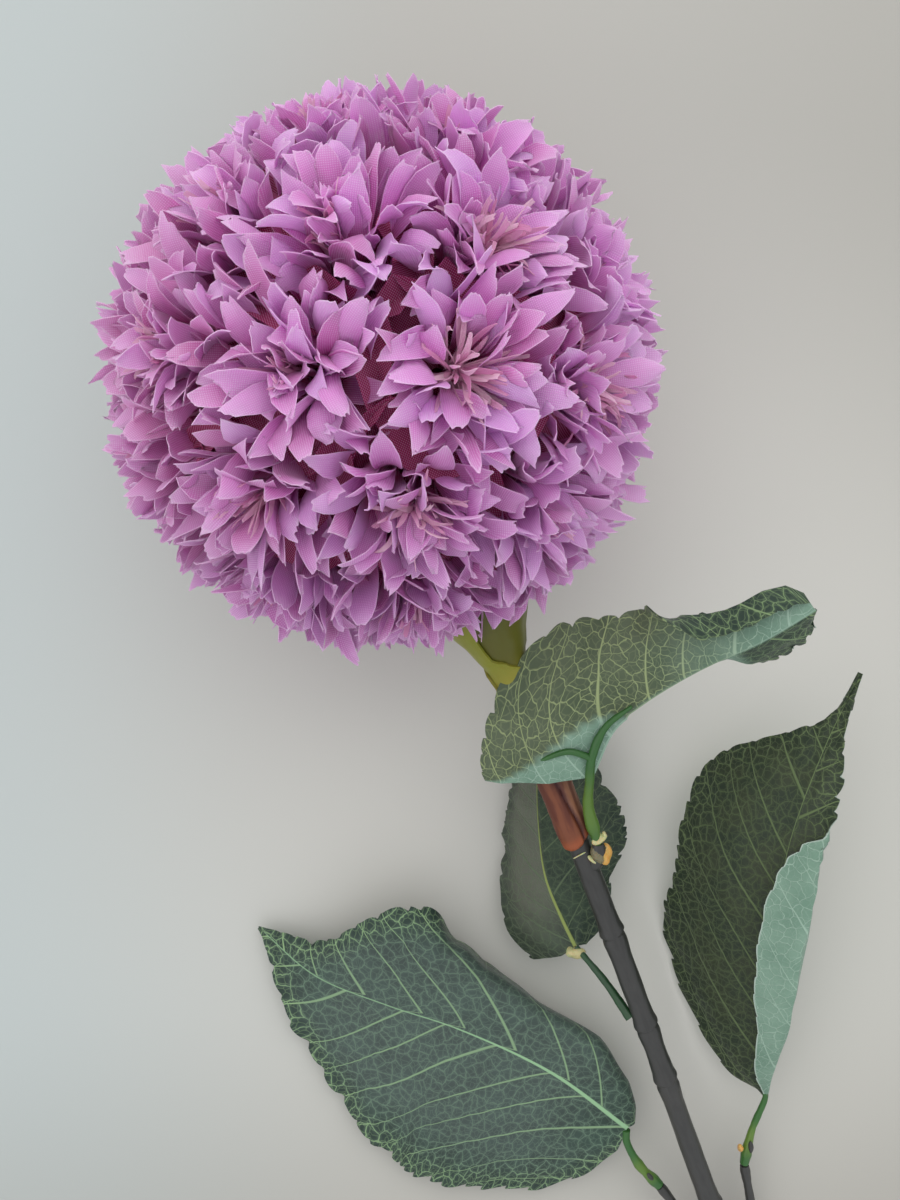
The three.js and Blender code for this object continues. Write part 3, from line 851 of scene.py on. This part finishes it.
# A knuckle's radius, as a share of the sleeve's, at distances before and after it.
KNUCKLE_PROFILE = [
    (-7, 1.0), (-2.5, 1.07), (-0.5, 1.2), (0.1, 1.22), (0.5, 1.02), (1.2, 1.06), (3, 1.13), (8, 1.0),
]
SLEEVE_RINGS, SLEEVE_SIDES = 420, 24
STUB_LINE = [(4.4, -141.4, 37.8), (6.4, -140.2, 39.6), (7.6, -137.8, 41.3), (8.3, -135.2, 42.3)]
STUB_RINGS = 16
STUB_RADII = [(0, 2.2), (9, 2.1), (13, 1.9), (15, 1.5)]


def add_sleeve(material):
    """The stem's sleeve with its knuckles, and the stub that holds the first leaf's stalk."""
    rng = np.random.default_rng(SEED + 101)
    distance = np.linspace(SLEEVE_START, STEM_LENGTH, SLEEVE_RINGS)[:, None]
    angle = around(SLEEVE_SIDES)
    share = np.prod([linear(KNUCKLE_PROFILE, distance - knuckle) for knuckle in KNUCKLES], axis=0)
    share = share + waves(rng, distance, 0.012, 34)
    oval = 0.025 * np.sin(2 * angle + 0.05 * distance)
    near = sum(np.exp(-((distance - knuckle) / 2.0) ** 2) for knuckle in KNUCKLES)
    notch = near * (0.5 * np.cos(angle - 2.2))
    line = stem_stretch(SLEEVE_START, STEM_LENGTH, SLEEVE_RINGS)
    sleeve = rod(line, SLEEVE_RADIUS * (share + oval), SLEEVE_SIDES, notch)
    stub_line, _ = curve_through(STUB_LINE, STUB_RINGS)
    stub = rod(stub_line, linear(STUB_RADII, np.arange(STUB_RINGS))[:, None])
    add_piece("sleeve", joined([sleeve, stub]), material, "stem_plastic", "stem_sleeve")


SHEATH_RINGS, SHEATH_SIDES = 60, 48
SHEATH_SHAPE = [(0, 0.92), (0.1, 1.0), (0.9, 1.0), (0.985, 0.9), (1, 0.74)]
SHEATH_SLANT = 1.6
GROOVE_ANGLE, GROOVE_TURN, GROOVE_WIDTH = 1.6, -0.55, 0.13


def add_sheath():
    """The neck's brown sheath: two panels that meet in a groove, cut off slantwise."""
    rng = np.random.default_rng(SEED + 102)
    share = np.linspace(0, 1, SHEATH_RINGS)[:, None]
    angle = around(SHEATH_SIDES)
    middle = GROOVE_ANGLE + GROOVE_TURN * smoothstep(share, 0.45, 1.0)
    past = np.angle(np.exp(1j * (angle - middle)))
    groove = sum(np.exp(-((np.abs(past) - seam) / GROOVE_WIDTH) ** 2) for seam in (0, math.pi))
    panel = past > 0
    body = SHEATH_RADIUS * linear(SHEATH_SHAPE, share) + waves(rng, share * 46, 0.06, 13)
    radii = body * (1 - 0.17 * groove) + 0.16 * panel
    shift = smoothstep(share, 0.6, 1.0) * SHEATH_SLANT * np.cos(angle - 2.6)
    line = stem_stretch(SHEATH_START, SHEATH_END - SHEATH_SLANT, SHEATH_RINGS)
    sheath = rod(line, radii, SHEATH_SIDES, shift, along=share, panel=panel, groove=groove)
    add_piece("sheath", sheath, sheath_material(), "sheath_plastic", "neck_sheath")


# The calyx's radius at heights above its neck.
CALYX_PROFILE = [(0, 4.3), (4, 4.5), (10, 5.0), (18, 7.5), (25, 11.0), (31, 13.0)]
# Each sepal's lapping edge: its angle round the stem at heights above the neck.
SEPAL_EDGE = [(-1.2, 5.9), (4, 5.8), (8, 5.5), (11, 4.8), (14, 4.25), (17, 4.2), (31, 4.35)]
SEPAL_ROWS, SEPAL_COLUMNS = 33, 21
SEPAL_WIDTH, SEPAL_THICKNESS = 2.6, 0.7
SEPAL_TONES = (0.75, 0.0, 0.4)
CUP_SIDES = 24


def add_calyx():
    """Sepals round a cup, each with one edge over the next."""
    low, high = SEPAL_EDGE[0][0], SEPAL_EDGE[-1][0]
    heights = np.linspace(low, high, SEPAL_ROWS)[:, None]
    line = stem_stretch(CALYX_NECK - low, CALYX_NECK - high, SEPAL_ROWS)
    _, across, up = (values[:, None] for values in carried_frames(line))
    share = np.linspace(0, 1, SEPAL_ROWS)[:, None]
    u = np.linspace(-1, 1, SEPAL_COLUMNS)
    start = around(len(SEPAL_TONES))[:, None, None]
    angle = (start + eased(SEPAL_EDGE, heights) - (1 - u) / 2 * SEPAL_WIDTH)[..., None]
    lap = 0.8 * (u + 1) / 2 + 0.4 * smoothstep(u, 0.7, 1.0)
    radii = linear(CALYX_PROFILE, heights)
    wide = (radii + lap * (0.5 + share))[..., None]
    middle = line[:, None] + wide * (across * np.cos(angle) + up * np.sin(angle))
    # Each sepal's own tone, plus painted shade: darker towards its edge that lies under the next
    # sepal's lap.
    tones = np.array(SEPAL_TONES)[:, None, None] + 0.3 * (u + 1) / 2
    sepals = sheets(middle, SEPAL_THICKNESS, along=share, tone=tones)
    cup = rod(line, radii - 0.5, CUP_SIDES, along=share, tone=0.0)
    add_piece("sepals", joined([sepals, cup]), calyx_material(), "calyx_plastic", "calyx")


# --- Stalks, twigs and glue ------------------------------------------------------------------

# Each leaf stalk's line, its radius at shares of that line, and how yellow it is.
STALKS = {
    "stalk_1": (
        [
            (7.5, -140.6, 40.2), (8.3, -133, 43), (9.2, -124, 47), (11.7, -116.6, 52.9),
            (14.6, -109.8, 56.8), (20.4, -103.6, 59.5), (28.4, -100.6, 62.6),
        ],
        [(0, 1.3), (0.16, 1.35), (0.2, 1.9), (0.3, 1.7), (0.42, 1.3), (0.75, 1.15), (1, 0.5)],
        0.75,
    ),
    "stalk_2": (
        [(-0.9, -189.3, 26.9), (-3.7, -178.4, 23.4), (-8.0, -166.9, 19.2)],
        [(0, 1.5), (0.2, 1.3), (0.6, 1.05), (1, 0.8)],
        0.0,
    ),
    "stalk_3": (
        [(-11.1, -246.6, 9.65), (-14.6, -237.6, 10.9), (-15.4, -229.8, 11.1), (-14.2, -226.3, 11.8)],
        [(0, 1.5), (0.12, 1.75), (0.3, 1.35), (0.45, 1.6), (0.6, 1.1), (1, 1.2)],
        0.8,
    ),
    "stalk_4": (
        [(15.3, -250.4, 8.85), (21.2, -241, 10.2), (28.3, -232.7, 11.8), (29.0, -230.8, 12.3)],
        [(0, 1.3), (0.12, 1.7), (0.3, 1.3), (0.5, 1.0), (0.8, 1.0), (1, 0.8)],
        0.9,
    ),
}
SIDE_RIB = [(14.4, -110.3, 56.5), (9.1, -106.2, 57.8), (1.6, -105.8, 57)]
SIDE_RIB_RADII = [(0, 0.95), (0.6, 0.85), (0.9, 0.6), (1, 0.2)]

# Each side twig's line, and the drop that is its bud scar: centre, direction and size.
TWIGS = {
    "twig_3": (
        [(-3.7, -282, 7.2), (-5.6, -266, 8), (-11, -247, 9.6)],
        ((-12.6, -242.2, 11.6), (-0.3, 1, 0.4), (1.7, 0.7)),
    ),
    "twig_4": (
        [(6.3, -288, 6.1), (11.0, -272, 6.9), (15.2, -250.9, 8.8)],
        ((18.9, -245.4, 10.9), (0.3, 1, 0.3), (2.1, 0.8)),
    ),
}
TWIG_RADII = [(0, 1.9), (0.1, 1.6), (0.5, 1.35), (0.85, 1.3), (0.95, 1.6), (1, 1.35)]

# The drops of glue at each joint: centre, direction, (half length, half width) and tone.
GLUE = {
    "glue_bead_1": [
        ((9.2, -139.0, 41.0), (-0.37, -0.93, 0), (3.1, 1.7), 1.0),
        ((7.3, -138.0, 40.9), (0.36, 0.9, 0.25), (3.3, 2.3), -1.0),
        ((9.0, -134.1, 43.1), (1, 0.2, 0.1), (2.4, 1.2), 0.15),
        ((10.5, -133.6, 43.3), (0.3, 1, 0.2), (1.3, 0.8), 0.05),
        ((5.6, -139.6, 40.9), (0.5, -0.86, -0.1), (2.3, 0.8), 0.0),
        ((2.3, -136.6, 41.5), (1, 0.13, 0.1), (2.0, 0.2), 0.0),
    ],
    "glue_bead_2": [
        ((-8.6, -168.4, 19.0), (0.93, -0.37, 0), (2.9, 1.9), 0.1),
        ((-10.0, -168.0, 18.9), (1, 0.2, 0), (1.6, 1.2), 0.0),
    ],
    "glue_bead_4": [((15.9, -244.4, 10.9), (0.2, 1, 0), (1.2, 0.9), 0.9)],
}
ROD_RINGS, RIB_RINGS, ROD_SIDES = 60, 24, 18
ROD_SHARES = np.linspace(0, 1, ROD_RINGS)[:, None]


def own_rng(name, offset):
    """Random numbers that belong to one named piece."""
    return np.random.default_rng(SEED + offset + sum(map(ord, name)))


def wavy_rod(points, radius_keys, rng, wave, pitch, **facts):
    """A bar with slightly uneven sides."""
    line, length = curve_through(points, ROD_RINGS)
    radii = linear(radius_keys, ROD_SHARES) + waves(rng, ROD_SHARES * length, wave, pitch)
    return rod(line, radii, ROD_SIDES, **facts)


def add_stalk(name, material):
    points, radius_keys, tone = STALKS[name]
    rng = own_rng(name, 110)
    bodies = [wavy_rod(points, radius_keys, rng, 0.04, 9, along=ROD_SHARES, tone=tone)]
    if name == "stalk_1":
        rib_line, _ = curve_through(SIDE_RIB, RIB_RINGS)
        rib_radii = linear(SIDE_RIB_RADII, np.linspace(0, 1, RIB_RINGS))[:, None]
        bodies.append(rod(rib_line, rib_radii, ROD_SIDES, along=0.9, tone=tone))
    add_piece(name.replace("stalk", "leaf_stalk"), joined(bodies), material, "stalk_plastic", name)


def add_twig(name, material):
    points, scar = TWIGS[name]
    rng = own_rng(name, 120)
    bodies = [wavy_rod(points, TWIG_RADII, rng, 0.05, 11), drop(*scar, rng)]
    add_piece(name.replace("twig", "side_twig"), joined(bodies), material, "stem_plastic", name)


def add_glue(name, material):
    rng = own_rng(name, 130)
    bodies = [drop(*form, rng, lumps=0.2, tone=tone) for *form, tone in GLUE[name]]
    add_piece(name.replace("glue_bead", "glue"), joined(bodies), material, "hot_glue", name)


def add_stem():
    dark, green, glue = stem_material(), stalk_material(), glue_material()
    add_sleeve(dark)
    add_sheath()
    add_calyx()
    for name in STALKS:
        add_stalk(name, green)
    for name in TWIGS:
        add_twig(name, dark)
    for name in GLUE:
        add_glue(name, glue)
    recolor("stem_wire", wire_material())


# --- Leaves ----------------------------------------------------------------------------------

def half(width, rise, bend, tooth, at=((0, 0.5),), spread=0.3):
    """Half a blade, as keys at shares of the midrib. It leaves the midrib at an angle (rise), then
    turns by another (bend) round a line at a share of its width (at), as in the CAD. tooth is
    the length of its teeth."""
    return {"width": width, "rise": rise, "bend": bend, "tooth": tooth, "at": at, "spread": spread}


# Side veins leave the midrib every pitch mm, lean towards the tip and arch. facing is 1 if the
# blade's upper side faces up, or -1. pale and the amount of painted sheen are given for the left and
# right halves.
# The colours are those of cells, deep cells, veins, midrib, veins near the margin, and the painted grey
# sheen.
PLAIN_LEAF = {
    "facing": 1, "lengths": (1.3, 1.0, 0.7), "round": 0.3, "rib": 0.5, "pale": (0.5, 0.5), "band": 0,
}
LEAVES = {
    "leaf_1": {
        "midrib": [
            (12.5, -115.1, 52), (22.1, -104.8, 57), (30.7, -101.3, 61),
            (47.2, -97, 69), (62.2, -95.1, 76), (75.9, -92, 82),
        ],
        "left": half(
            [
                (0, 26), (0.1, 30), (0.2, 31), (0.3, 29), (0.42, 24), (0.5, 20.5),
                (0.56, 20), (0.62, 22), (0.7, 18.5), (0.75, 17.5), (0.9, 18), (0.97, 15), (1, 8),
            ],
            rise=[(0, 20), (0.3, 10), (0.6, 5)], bend=[(0.5, -25), (0.68, 150), (1, 160)],
            tooth=2.2, at=[(0, 0.4), (0.6, 0.65), (1, 0.62)], spread=0.2,
        ),
        "right": half(
            [(0, 10), (0.1, 22), (0.3, 26), (0.5, 24), (0.7, 18), (0.85, 14), (0.95, 8), (1, 1)],
            rise=[(0, -112), (0.6, -105), (0.72, -54), (1, -40)], bend=[(0, -15)], tooth=7,
        ),
        "facing": -1, "teeth": 20, "lengths": (0.5, 1.6, 1.1), "round": 0.8, "lobe": 0.4,
        "sweep": -0.45, "pitch": 13.5, "lean": 0.5, "arch": 0.014, "cell": 2.8,
        "pale": (0.0, 1.0), "band": 1, "bloom": (0.2, 0.1),
        "colors": (
            (46, 66, 50), (34, 54, 42), (118, 146, 104), (120, 150, 110), (134, 160, 112),
            (100, 110, 106),
        ),
    },
    "leaf_2": {
        "midrib": [
            (-8.1, -166.4, 19), (-8.8, -157, 20), (-8.7, -143.5, 21),
            (-4.4, -127, 20), (0.6, -114.2, 16), (9, -92, 8),
        ],
        "left": half(
            [(0, 6), (0.05, 17), (0.12, 20), (0.3, 20), (0.5, 18), (0.7, 12), (0.85, 6), (1, 0.6)],
            rise=[(0, -30), (0.15, -36), (0.4, -58)], bend=[(0, -6)], tooth=1.7,
        ),
        "right": half(
            [
                (0, 3), (0.05, 9), (0.12, 14), (0.25, 22), (0.4, 27), (0.55, 25), (0.7, 18),
                (0.85, 8), (1, 0.6),
            ],
            rise=[(0, -5)], bend=[(0, -15)], tooth=2.6,
        ),
        "teeth": 14, "lobe": 0.5,
        "sweep": -0.4, "pitch": 11, "lean": 0.7, "arch": 0.012, "cell": 3.1, "bloom": (1.0, 0.1),
        "colors": (
            (54, 72, 54), (34, 50, 40), (90, 108, 80), (138, 152, 84), (96, 112, 84),
            (120, 120, 106),
        ),
    },
    "leaf_3": {
        "midrib": [
            (-13.7, -225.4, 12), (-28.8, -199.1, 17), (-49.7, -176.6, 18),
            (-66.7, -163.8, 15), (-85.2, -148.9, 9), (-97.1, -130.5, 3),
        ],
        "left": half(
            [
                (0, 8), (0.04, 20), (0.1, 34), (0.2, 45.5), (0.3, 50.5), (0.42, 52),
                (0.52, 50), (0.62, 44.5), (0.72, 34), (0.8, 21.5), (0.87, 11.5), (0.94, 4), (1, 0.6),
            ],
            rise=[(0, -12)], bend=[(0, -4)], tooth=2.3,
        ),
        "right": half(
            [
                (0, 5), (0.04, 15), (0.1, 26), (0.2, 33), (0.3, 33), (0.45, 36.5), (0.52, 37),
                (0.58, 34), (0.66, 31), (0.74, 22), (0.8, 14.5), (0.87, 8), (0.94, 4), (1, 0.6),
            ],
            rise=[(0, 15)], bend=[(0, -125), (0.54, -112), (0.64, -15), (1, -10)], tooth=2.3,
            at=[
                (0, 0.45), (0.1, 0.42), (0.2, 0.48), (0.3, 0.45), (0.45, 0.49), (0.52, 0.6),
                (0.58, 0.82),
            ],
        ),
        "teeth": 22, "round": 0.2, "lobe": 0.8, "rib": 0.8,
        "sweep": -0.4, "pitch": 16, "lean": 1.0, "arch": 0.006, "cell": 3.5, "bloom": (0.7, 0.6),
        "colors": (
            (42, 66, 54), (24, 46, 34), (116, 144, 120), (146, 186, 142), (148, 180, 130),
            (98, 108, 106),
        ),
    },
    "leaf_4": {
        "midrib": [
            (28.9, -231.5, 12), (30.8, -219.2, 17), (39.3, -196.5, 26),
            (46.5, -180.5, 32), (57.4, -157.8, 37), (77.1, -134.8, 38), (94.8, -119.5, 36),
        ],
        "left": half(
            [
                (0, 2), (0.05, 10), (0.1, 16), (0.2, 29), (0.3, 37), (0.42, 36), (0.52, 34.5),
                (0.62, 34.5), (0.7, 33), (0.75, 28), (0.8, 18), (0.84, 9), (0.88, 3), (0.93, 1.2),
                (1, 0.6),
            ],
            rise=[(0, -38)], bend=[(0, -14)], tooth=1.8,
        ),
        "right": half(
            [
                (0, 2), (0.1, 10.4), (0.2, 17), (0.3, 21.8), (0.42, 23.5), (0.5, 24.6), (0.56, 22.6),
                (0.6, 20.2), (0.63, 17), (0.67, 12), (0.7, 10), (0.8, 6.8), (0.87, 3.4),
                (0.94, 1.5), (1, 0.6),
            ],
            rise=[(0, 45), (1, 40)], bend=[(0.65, 165), (0.71, 0)], tooth=1.8,
            at=[
                (0, 0.45), (0.2, 0.5), (0.3, 0.46), (0.42, 0.44), (0.5, 0.46), (0.56, 0.5),
                (0.6, 0.55), (0.63, 0.63), (0.67, 0.88),
            ],
        ),
        "teeth": 24, "lobe": 0.4,
        "sweep": -0.3, "pitch": 14, "lean": 0.95, "arch": 0.008, "cell": 3.1,
        "pale": (0.5, 1.0), "bloom": (0.15, 0.3),
        "colors": (
            (48, 57, 36), (34, 48, 32), (92, 109, 70), (116, 136, 88), (106, 124, 82),
            (90, 96, 84),
        ),
    },
}
SWEEP_END = 0.3
SECTION_STEPS = 48
LONGEST_SECTION, LONGEST_REACH = 1.2, 1.15
BLADE_THICKNESS = 0.4
SHARES = np.array([
    0, 0.03, 0.07, 0.14, 0.22, 0.31, 0.4, 0.49, 0.58, 0.67, 0.76, 0.84, 0.91, 0.96, 1.0,
])
TOOTH_PLACES = np.array([0, 0.14, 0.28, 0.42, 0.56, 0.7, 0.84, 0.95])
TOOTH_HEIGHTS = np.array([0, 0.26, 0.44, 0.58, 0.72, 0.86, 0.97, 1.0])
PUFF = 0.55
RIDGE, RIDGE_WIDTH = 0.4, 1.1
BAND_LIFT = 0.7


def blade_rows(leaf, rng):
    """The rows' shares of the midrib and how far each stands out on its tooth, which is sharp,
    or rounder where it is long. Both are columns."""
    teeth = leaf["teeth"]
    lengths = np.interp(np.linspace(0, 1, teeth), [0, 0.5, 1], leaf["lengths"])
    lengths = (lengths * rng.uniform(0.65, 1.35, teeth))[:, None]
    starts = np.concatenate([[0], np.cumsum(lengths)])
    rows = starts[:-1, None] + lengths * TOOTH_PLACES
    rounded = leaf["round"] * np.clip(lengths - 0.3, 0, 1)
    heights = TOOTH_HEIGHTS * (1 - rounded) + np.sin(math.pi * TOOTH_PLACES) * rounded
    heights = (heights - 0.5) * np.clip(lengths, 0.6, 1.2)
    along = np.append(rows, starts[-1]) / starts[-1]
    return along[:, None], np.append(heights, 0.0)[:, None]


def section(side, along, shares):
    """How far a half's sections run sideways and upwards at shares of their widths."""
    steps = round(SECTION_STEPS * LONGEST_SECTION)
    fine = (np.arange(steps) + 0.5) / SECTION_STEPS
    edges = np.arange(steps + 1) / SECTION_STEPS
    rise, bend = (np.radians(eased(side[key], along)) for key in ("rise", "bend"))
    at, spread = eased(side["at"], along), side["spread"]
    angle = rise + bend * smoothstep(fine, at - spread / 2, at + spread / 2)
    for part in (np.cos(angle), np.sin(angle)):
        total = np.concatenate([np.zeros_like(along), np.cumsum(part, 1)], 1) / SECTION_STEPS
        reach = np.stack([np.interp(row, edges, one) for row, one in zip(shares, total)])
        yield reach * linear(side["width"], along)


def vein_phase(leaf, along_mm, across_mm):
    """Counts the side veins: it is a whole number on each one."""
    out = np.abs(across_mm)
    start = along_mm - leaf["lean"] * out - leaf["arch"] * out**2
    phase = start / leaf["pitch"] + 0.42 * (across_mm > 0)
    return phase + 0.12 * np.sin(2.1 * phase + leaf["pitch"])


def half_surface(leaf, side, sign, length, along, height, rng):
    """Half a blade, from the midrib outwards: its sections and what its material reads."""
    width = np.maximum(linear(side["width"], along), 0.3)
    sizes = np.append(np.repeat(rng.uniform(0.5, 1.2, leaf["teeth"]), len(TOOTH_PLACES)), 0)
    folded = np.clip(np.abs(eased(side["bend"], along)) / 90, 0, 1)
    fade = smoothstep(along, 0.0, 0.08) * (1 - smoothstep(along, 0.92, 1.0))
    tooth = height * sizes[:, None] * smoothstep(width, 1.0, 6.0) * (1 - 0.75 * folded)
    across_mm = sign * SHARES * width
    bulge = np.abs(np.sin(math.pi * vein_phase(leaf, along * length, across_mm)))
    extra = tooth * fade * side["tooth"] * smoothstep(SHARES, 0.93, 1.0)
    extra = extra + leaf["lobe"] * bulge * smoothstep(SHARES, 0.7, 1.0) * fade
    sideways, upwards = section(side, along, np.minimum(SHARES + extra / width, LONGEST_REACH))
    return {
        "sideways": sign * sideways,
        "upwards": upwards,
        "across_mm": across_mm,
        "share": SHARES + 0 * along,
        "edge_mm": (1 - SHARES) * width,
        "folded": folded + 0 * SHARES,
    }


def blade_surface(leaf, along, height, rng):
    """A blade's middle surface and what its material reads."""
    line, length = curve_through(leaf["midrib"], 600)
    at = places_at(along[:, 0], np.linspace(0, 1, len(line)), line)
    forward = unit(np.gradient(at, along[:, 0], axis=0))
    up = unit(np.array([0, 0, 1.0]) - forward * forward[:, 2:])
    left, right = (
        half_surface(leaf, leaf[name], sign, length, along, height, rng)
        for name, sign in (("left", -1), ("right", 1))
    )
    facts = {key: np.concatenate([left[key][:, :0:-1], right[key]], axis=1) for key in left}
    sweep = leaf["sweep"] * (1 - smoothstep(along, 0, SWEEP_END)) * np.abs(facts["across_mm"])
    surface = at[:, None] + np.cross(forward, up)[:, None] * facts.pop("sideways")[..., None]
    surface = surface + up[:, None] * facts.pop("upwards")[..., None]
    surface = surface + forward[:, None] * sweep[..., None]
    facts["along"] = along + 0 * sweep
    facts["along_mm"] = along * length + sweep
    facts["phase"] = vein_phase(leaf, facts["along_mm"], facts["across_mm"])
    return surface, facts


def relief(leaf, facts, rng):
    """How far a blade stands out from its smooth surface, on the side that faces up."""
    share = facts["share"]
    flat = 1 - 0.75 * facts.pop("folded")
    puff = PUFF * np.abs(np.sin(math.pi * facts["phase"])) * smoothstep(share, 0.05, 0.35)
    ridge = RIDGE * (1 - 0.7 * facts["along"]) * np.exp(-(facts["across_mm"] / RIDGE_WIDTH) ** 2)
    wave = waves(rng, facts["along"] * 110 + 9 * np.sign(facts["across_mm"]), 0.5, 31)
    tilt = leaf["band"] * BAND_LIFT * facts["band"]
    return (leaf["facing"] * puff + wave * smoothstep(share, 0.5, 1.0)) * flat + ridge + tilt


def pale_band(leaf, facts):
    """The left half's pale strip, where the underside is painted in its lit green instead of the shaded
    olive: a wedge at the base, and the tip's part next to the midrib.
    """
    share, along = facts["share"], facts["along"]
    wedge = 1 - smoothstep(along - 0.27 * (1 - share) ** 1.5, -0.008, 0.008)
    inner = smoothstep(along, 0.36, 0.9) * (1 - smoothstep(share, 0.1, 0.95))
    return leaf["band"] * np.maximum(wedge, inner)


def blade_marks(leaf, facts):
    """How pale the underside is and how much painted grey sheen the upper side has."""
    right = smoothstep(facts["across_mm"], -0.3, 0.3)
    pale, bloom = (
        on_left + (on_right - on_left) * right for on_left, on_right in (leaf["pale"], leaf["bloom"])
    )
    inner = 1 - smoothstep(facts["share"], 0.55, 0.95)
    middle = smoothstep(facts["along"], 0.02, 0.25) * (1 - smoothstep(facts["along"], 0.7, 0.95))
    return np.maximum(pale, facts.pop("band")), bloom * (0.25 + 0.75 * inner * middle)


def add_leaf(name, leaf):
    rng = np.random.default_rng(SEED + 200 + int(name[-1]))
    along, height = blade_rows(leaf, rng)
    surface, facts = blade_surface(leaf, along, height, rng)
    facts["band"] = pale_band(leaf, facts)
    normal = unit(np.cross(np.gradient(surface, axis=1), np.gradient(surface, axis=0)))
    surface = surface + normal * relief(leaf, facts, rng)[..., None]
    surface = above_table(surface, TABLE_CLEARANCE + BLADE_THICKNESS / 2)
    facts["pale"], facts["bloom"] = blade_marks(leaf, facts)
    facts["blade"] = np.stack([facts["across_mm"], facts.pop("along_mm")], -1)
    twisted = leaf["band"] * smoothstep(facts["along"], 0.68, 0.74) * (facts["across_mm"] > 0)
    under_in_front = np.ravel(0 * twisted if leaf["facing"] > 0 else 1 - twisted)
    *solid, facts = sheets(surface[None], BLADE_THICKNESS, **facts)
    facts["under"] = np.concatenate([under_in_front, 1 - under_in_front])
    material = leaf_material(f"cloth_{name}", leaf["rib"], leaf["cell"], leaf["colors"])
    add_piece(name.replace("leaf", "blade"), (*solid, facts), material, "leaf_fabric", name)


def add_leaves():
    for name, leaf in LEAVES.items():
        add_leaf(name, {**PLAIN_LEAF, **leaf})


# --- Camera, light and table -----------------------------------------------------------------

CAMERA_PLACE = Vector((-5.1, -57.9, 359.0)) * MM
CAMERA_ROLL = math.radians(-21.5)
CAMERA_LENS, CAMERA_SENSOR = 34.5, 36.0
LIGHTS_AIM = (0, -0.05, 0.05)
TABLE_SIZE = 1.5
PAINTED_LIGHT_CENTRE = (0.02, -0.12, 0)


def add_camera():
    data = bpy.data.cameras.new("camera")
    data.sensor_fit = "VERTICAL"
    data.sensor_height = CAMERA_SENSOR
    data.lens = CAMERA_LENS
    data.clip_start = 0.01
    camera = link("camera", data)
    camera.location = CAMERA_PLACE
    camera.rotation_euler = (0, 0, CAMERA_ROLL)
    bpy.context.scene.camera = camera


def add_area_light(name, place, size, power, color):
    data = bpy.data.lights.new(name, "AREA")
    data.size = size
    data.energy = power
    data.color = color
    light = link(name, data)
    light.location = place
    aim = Vector(LIGHTS_AIM) - Vector(place)
    light.rotation_euler = aim.to_track_quat("-Z", "Y").to_euler()


def add_lights():
    world = bpy.data.worlds.new("studio")
    world.use_nodes = True
    background = world.node_tree.nodes["Background"].inputs
    background["Color"].default_value = (0.93, 0.95, 1.0, 1)
    background["Strength"].default_value = 0.84
    bpy.context.scene.world = world
    add_area_light("key", (0.6, 1.4, 1.5), 3.0, 24.0, (1.0, 0.98, 0.95))
    add_area_light("fill", (-1.6, 0.2, 1.5), 2.5, 8.0, (1.0, 0.95, 0.93))


def table_material():
    """Pale paint with painted light and shade: cooler on the left and darker at the foot of the
    picture, and painted lighter round the flower, which takes the edge off the shadows."""
    s = Shader("table_paint", Roughness=0.85, Specular_IOR_Level=0.2)
    right = (math.cos(CAMERA_ROLL), math.sin(CAMERA_ROLL), 0)
    downwards = (math.sin(CAMERA_ROLL), -math.cos(CAMERA_ROLL), 0)
    across, down = (s.measure("DOT_PRODUCT", way) for way in (right, downwards))
    # Painted light and shade: a cool cast on the left, a warmer darker right, a darker foot and a
    # lighter pool round the flower.
    color = s.coats(
        (189, 197, 194),
        (s.ramp(across, -0.13, 0.02), (185, 184, 176)),
        (s.ramp(across, 0.04, 0.25, 0, 0.8), (170, 167, 158)),
        (s.ramp(s.measure("DISTANCE", PAINTED_LIGHT_CENTRE), 0.22, 0.03, 0, 0.8), (220, 219, 210)),
        (s.ramp(down, 0.17, 0.3, 0, 0.5), (150, 145, 134)),
        (s.times(s.noise(s.place(), 3.0), 0.1), (196, 196, 190)),
    )
    s.put(s.surface["Base Color"], color)
    return s.material


def add_table():
    mesh = bpy.data.meshes.new("table")
    corners = [(TABLE_SIZE * x, TABLE_SIZE * y, 0) for x, y in ((-1, -1), (1, -1), (1, 1), (-1, 1))]
    mesh.from_pydata(corners, [], [(0, 1, 2, 3)])
    mesh.materials.append(table_material())
    table = link("table", mesh)
    table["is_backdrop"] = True


bpy.context.scene.view_settings.view_transform = "Standard"
add_camera()
add_lights()
add_table()
add_ball()
add_stem()
add_leaves()

visual_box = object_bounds()
boxes = {"cad": cad_box, "visual": visual_box}
{key: [list(corner) for corner in box] for key, box in boxes.items()}
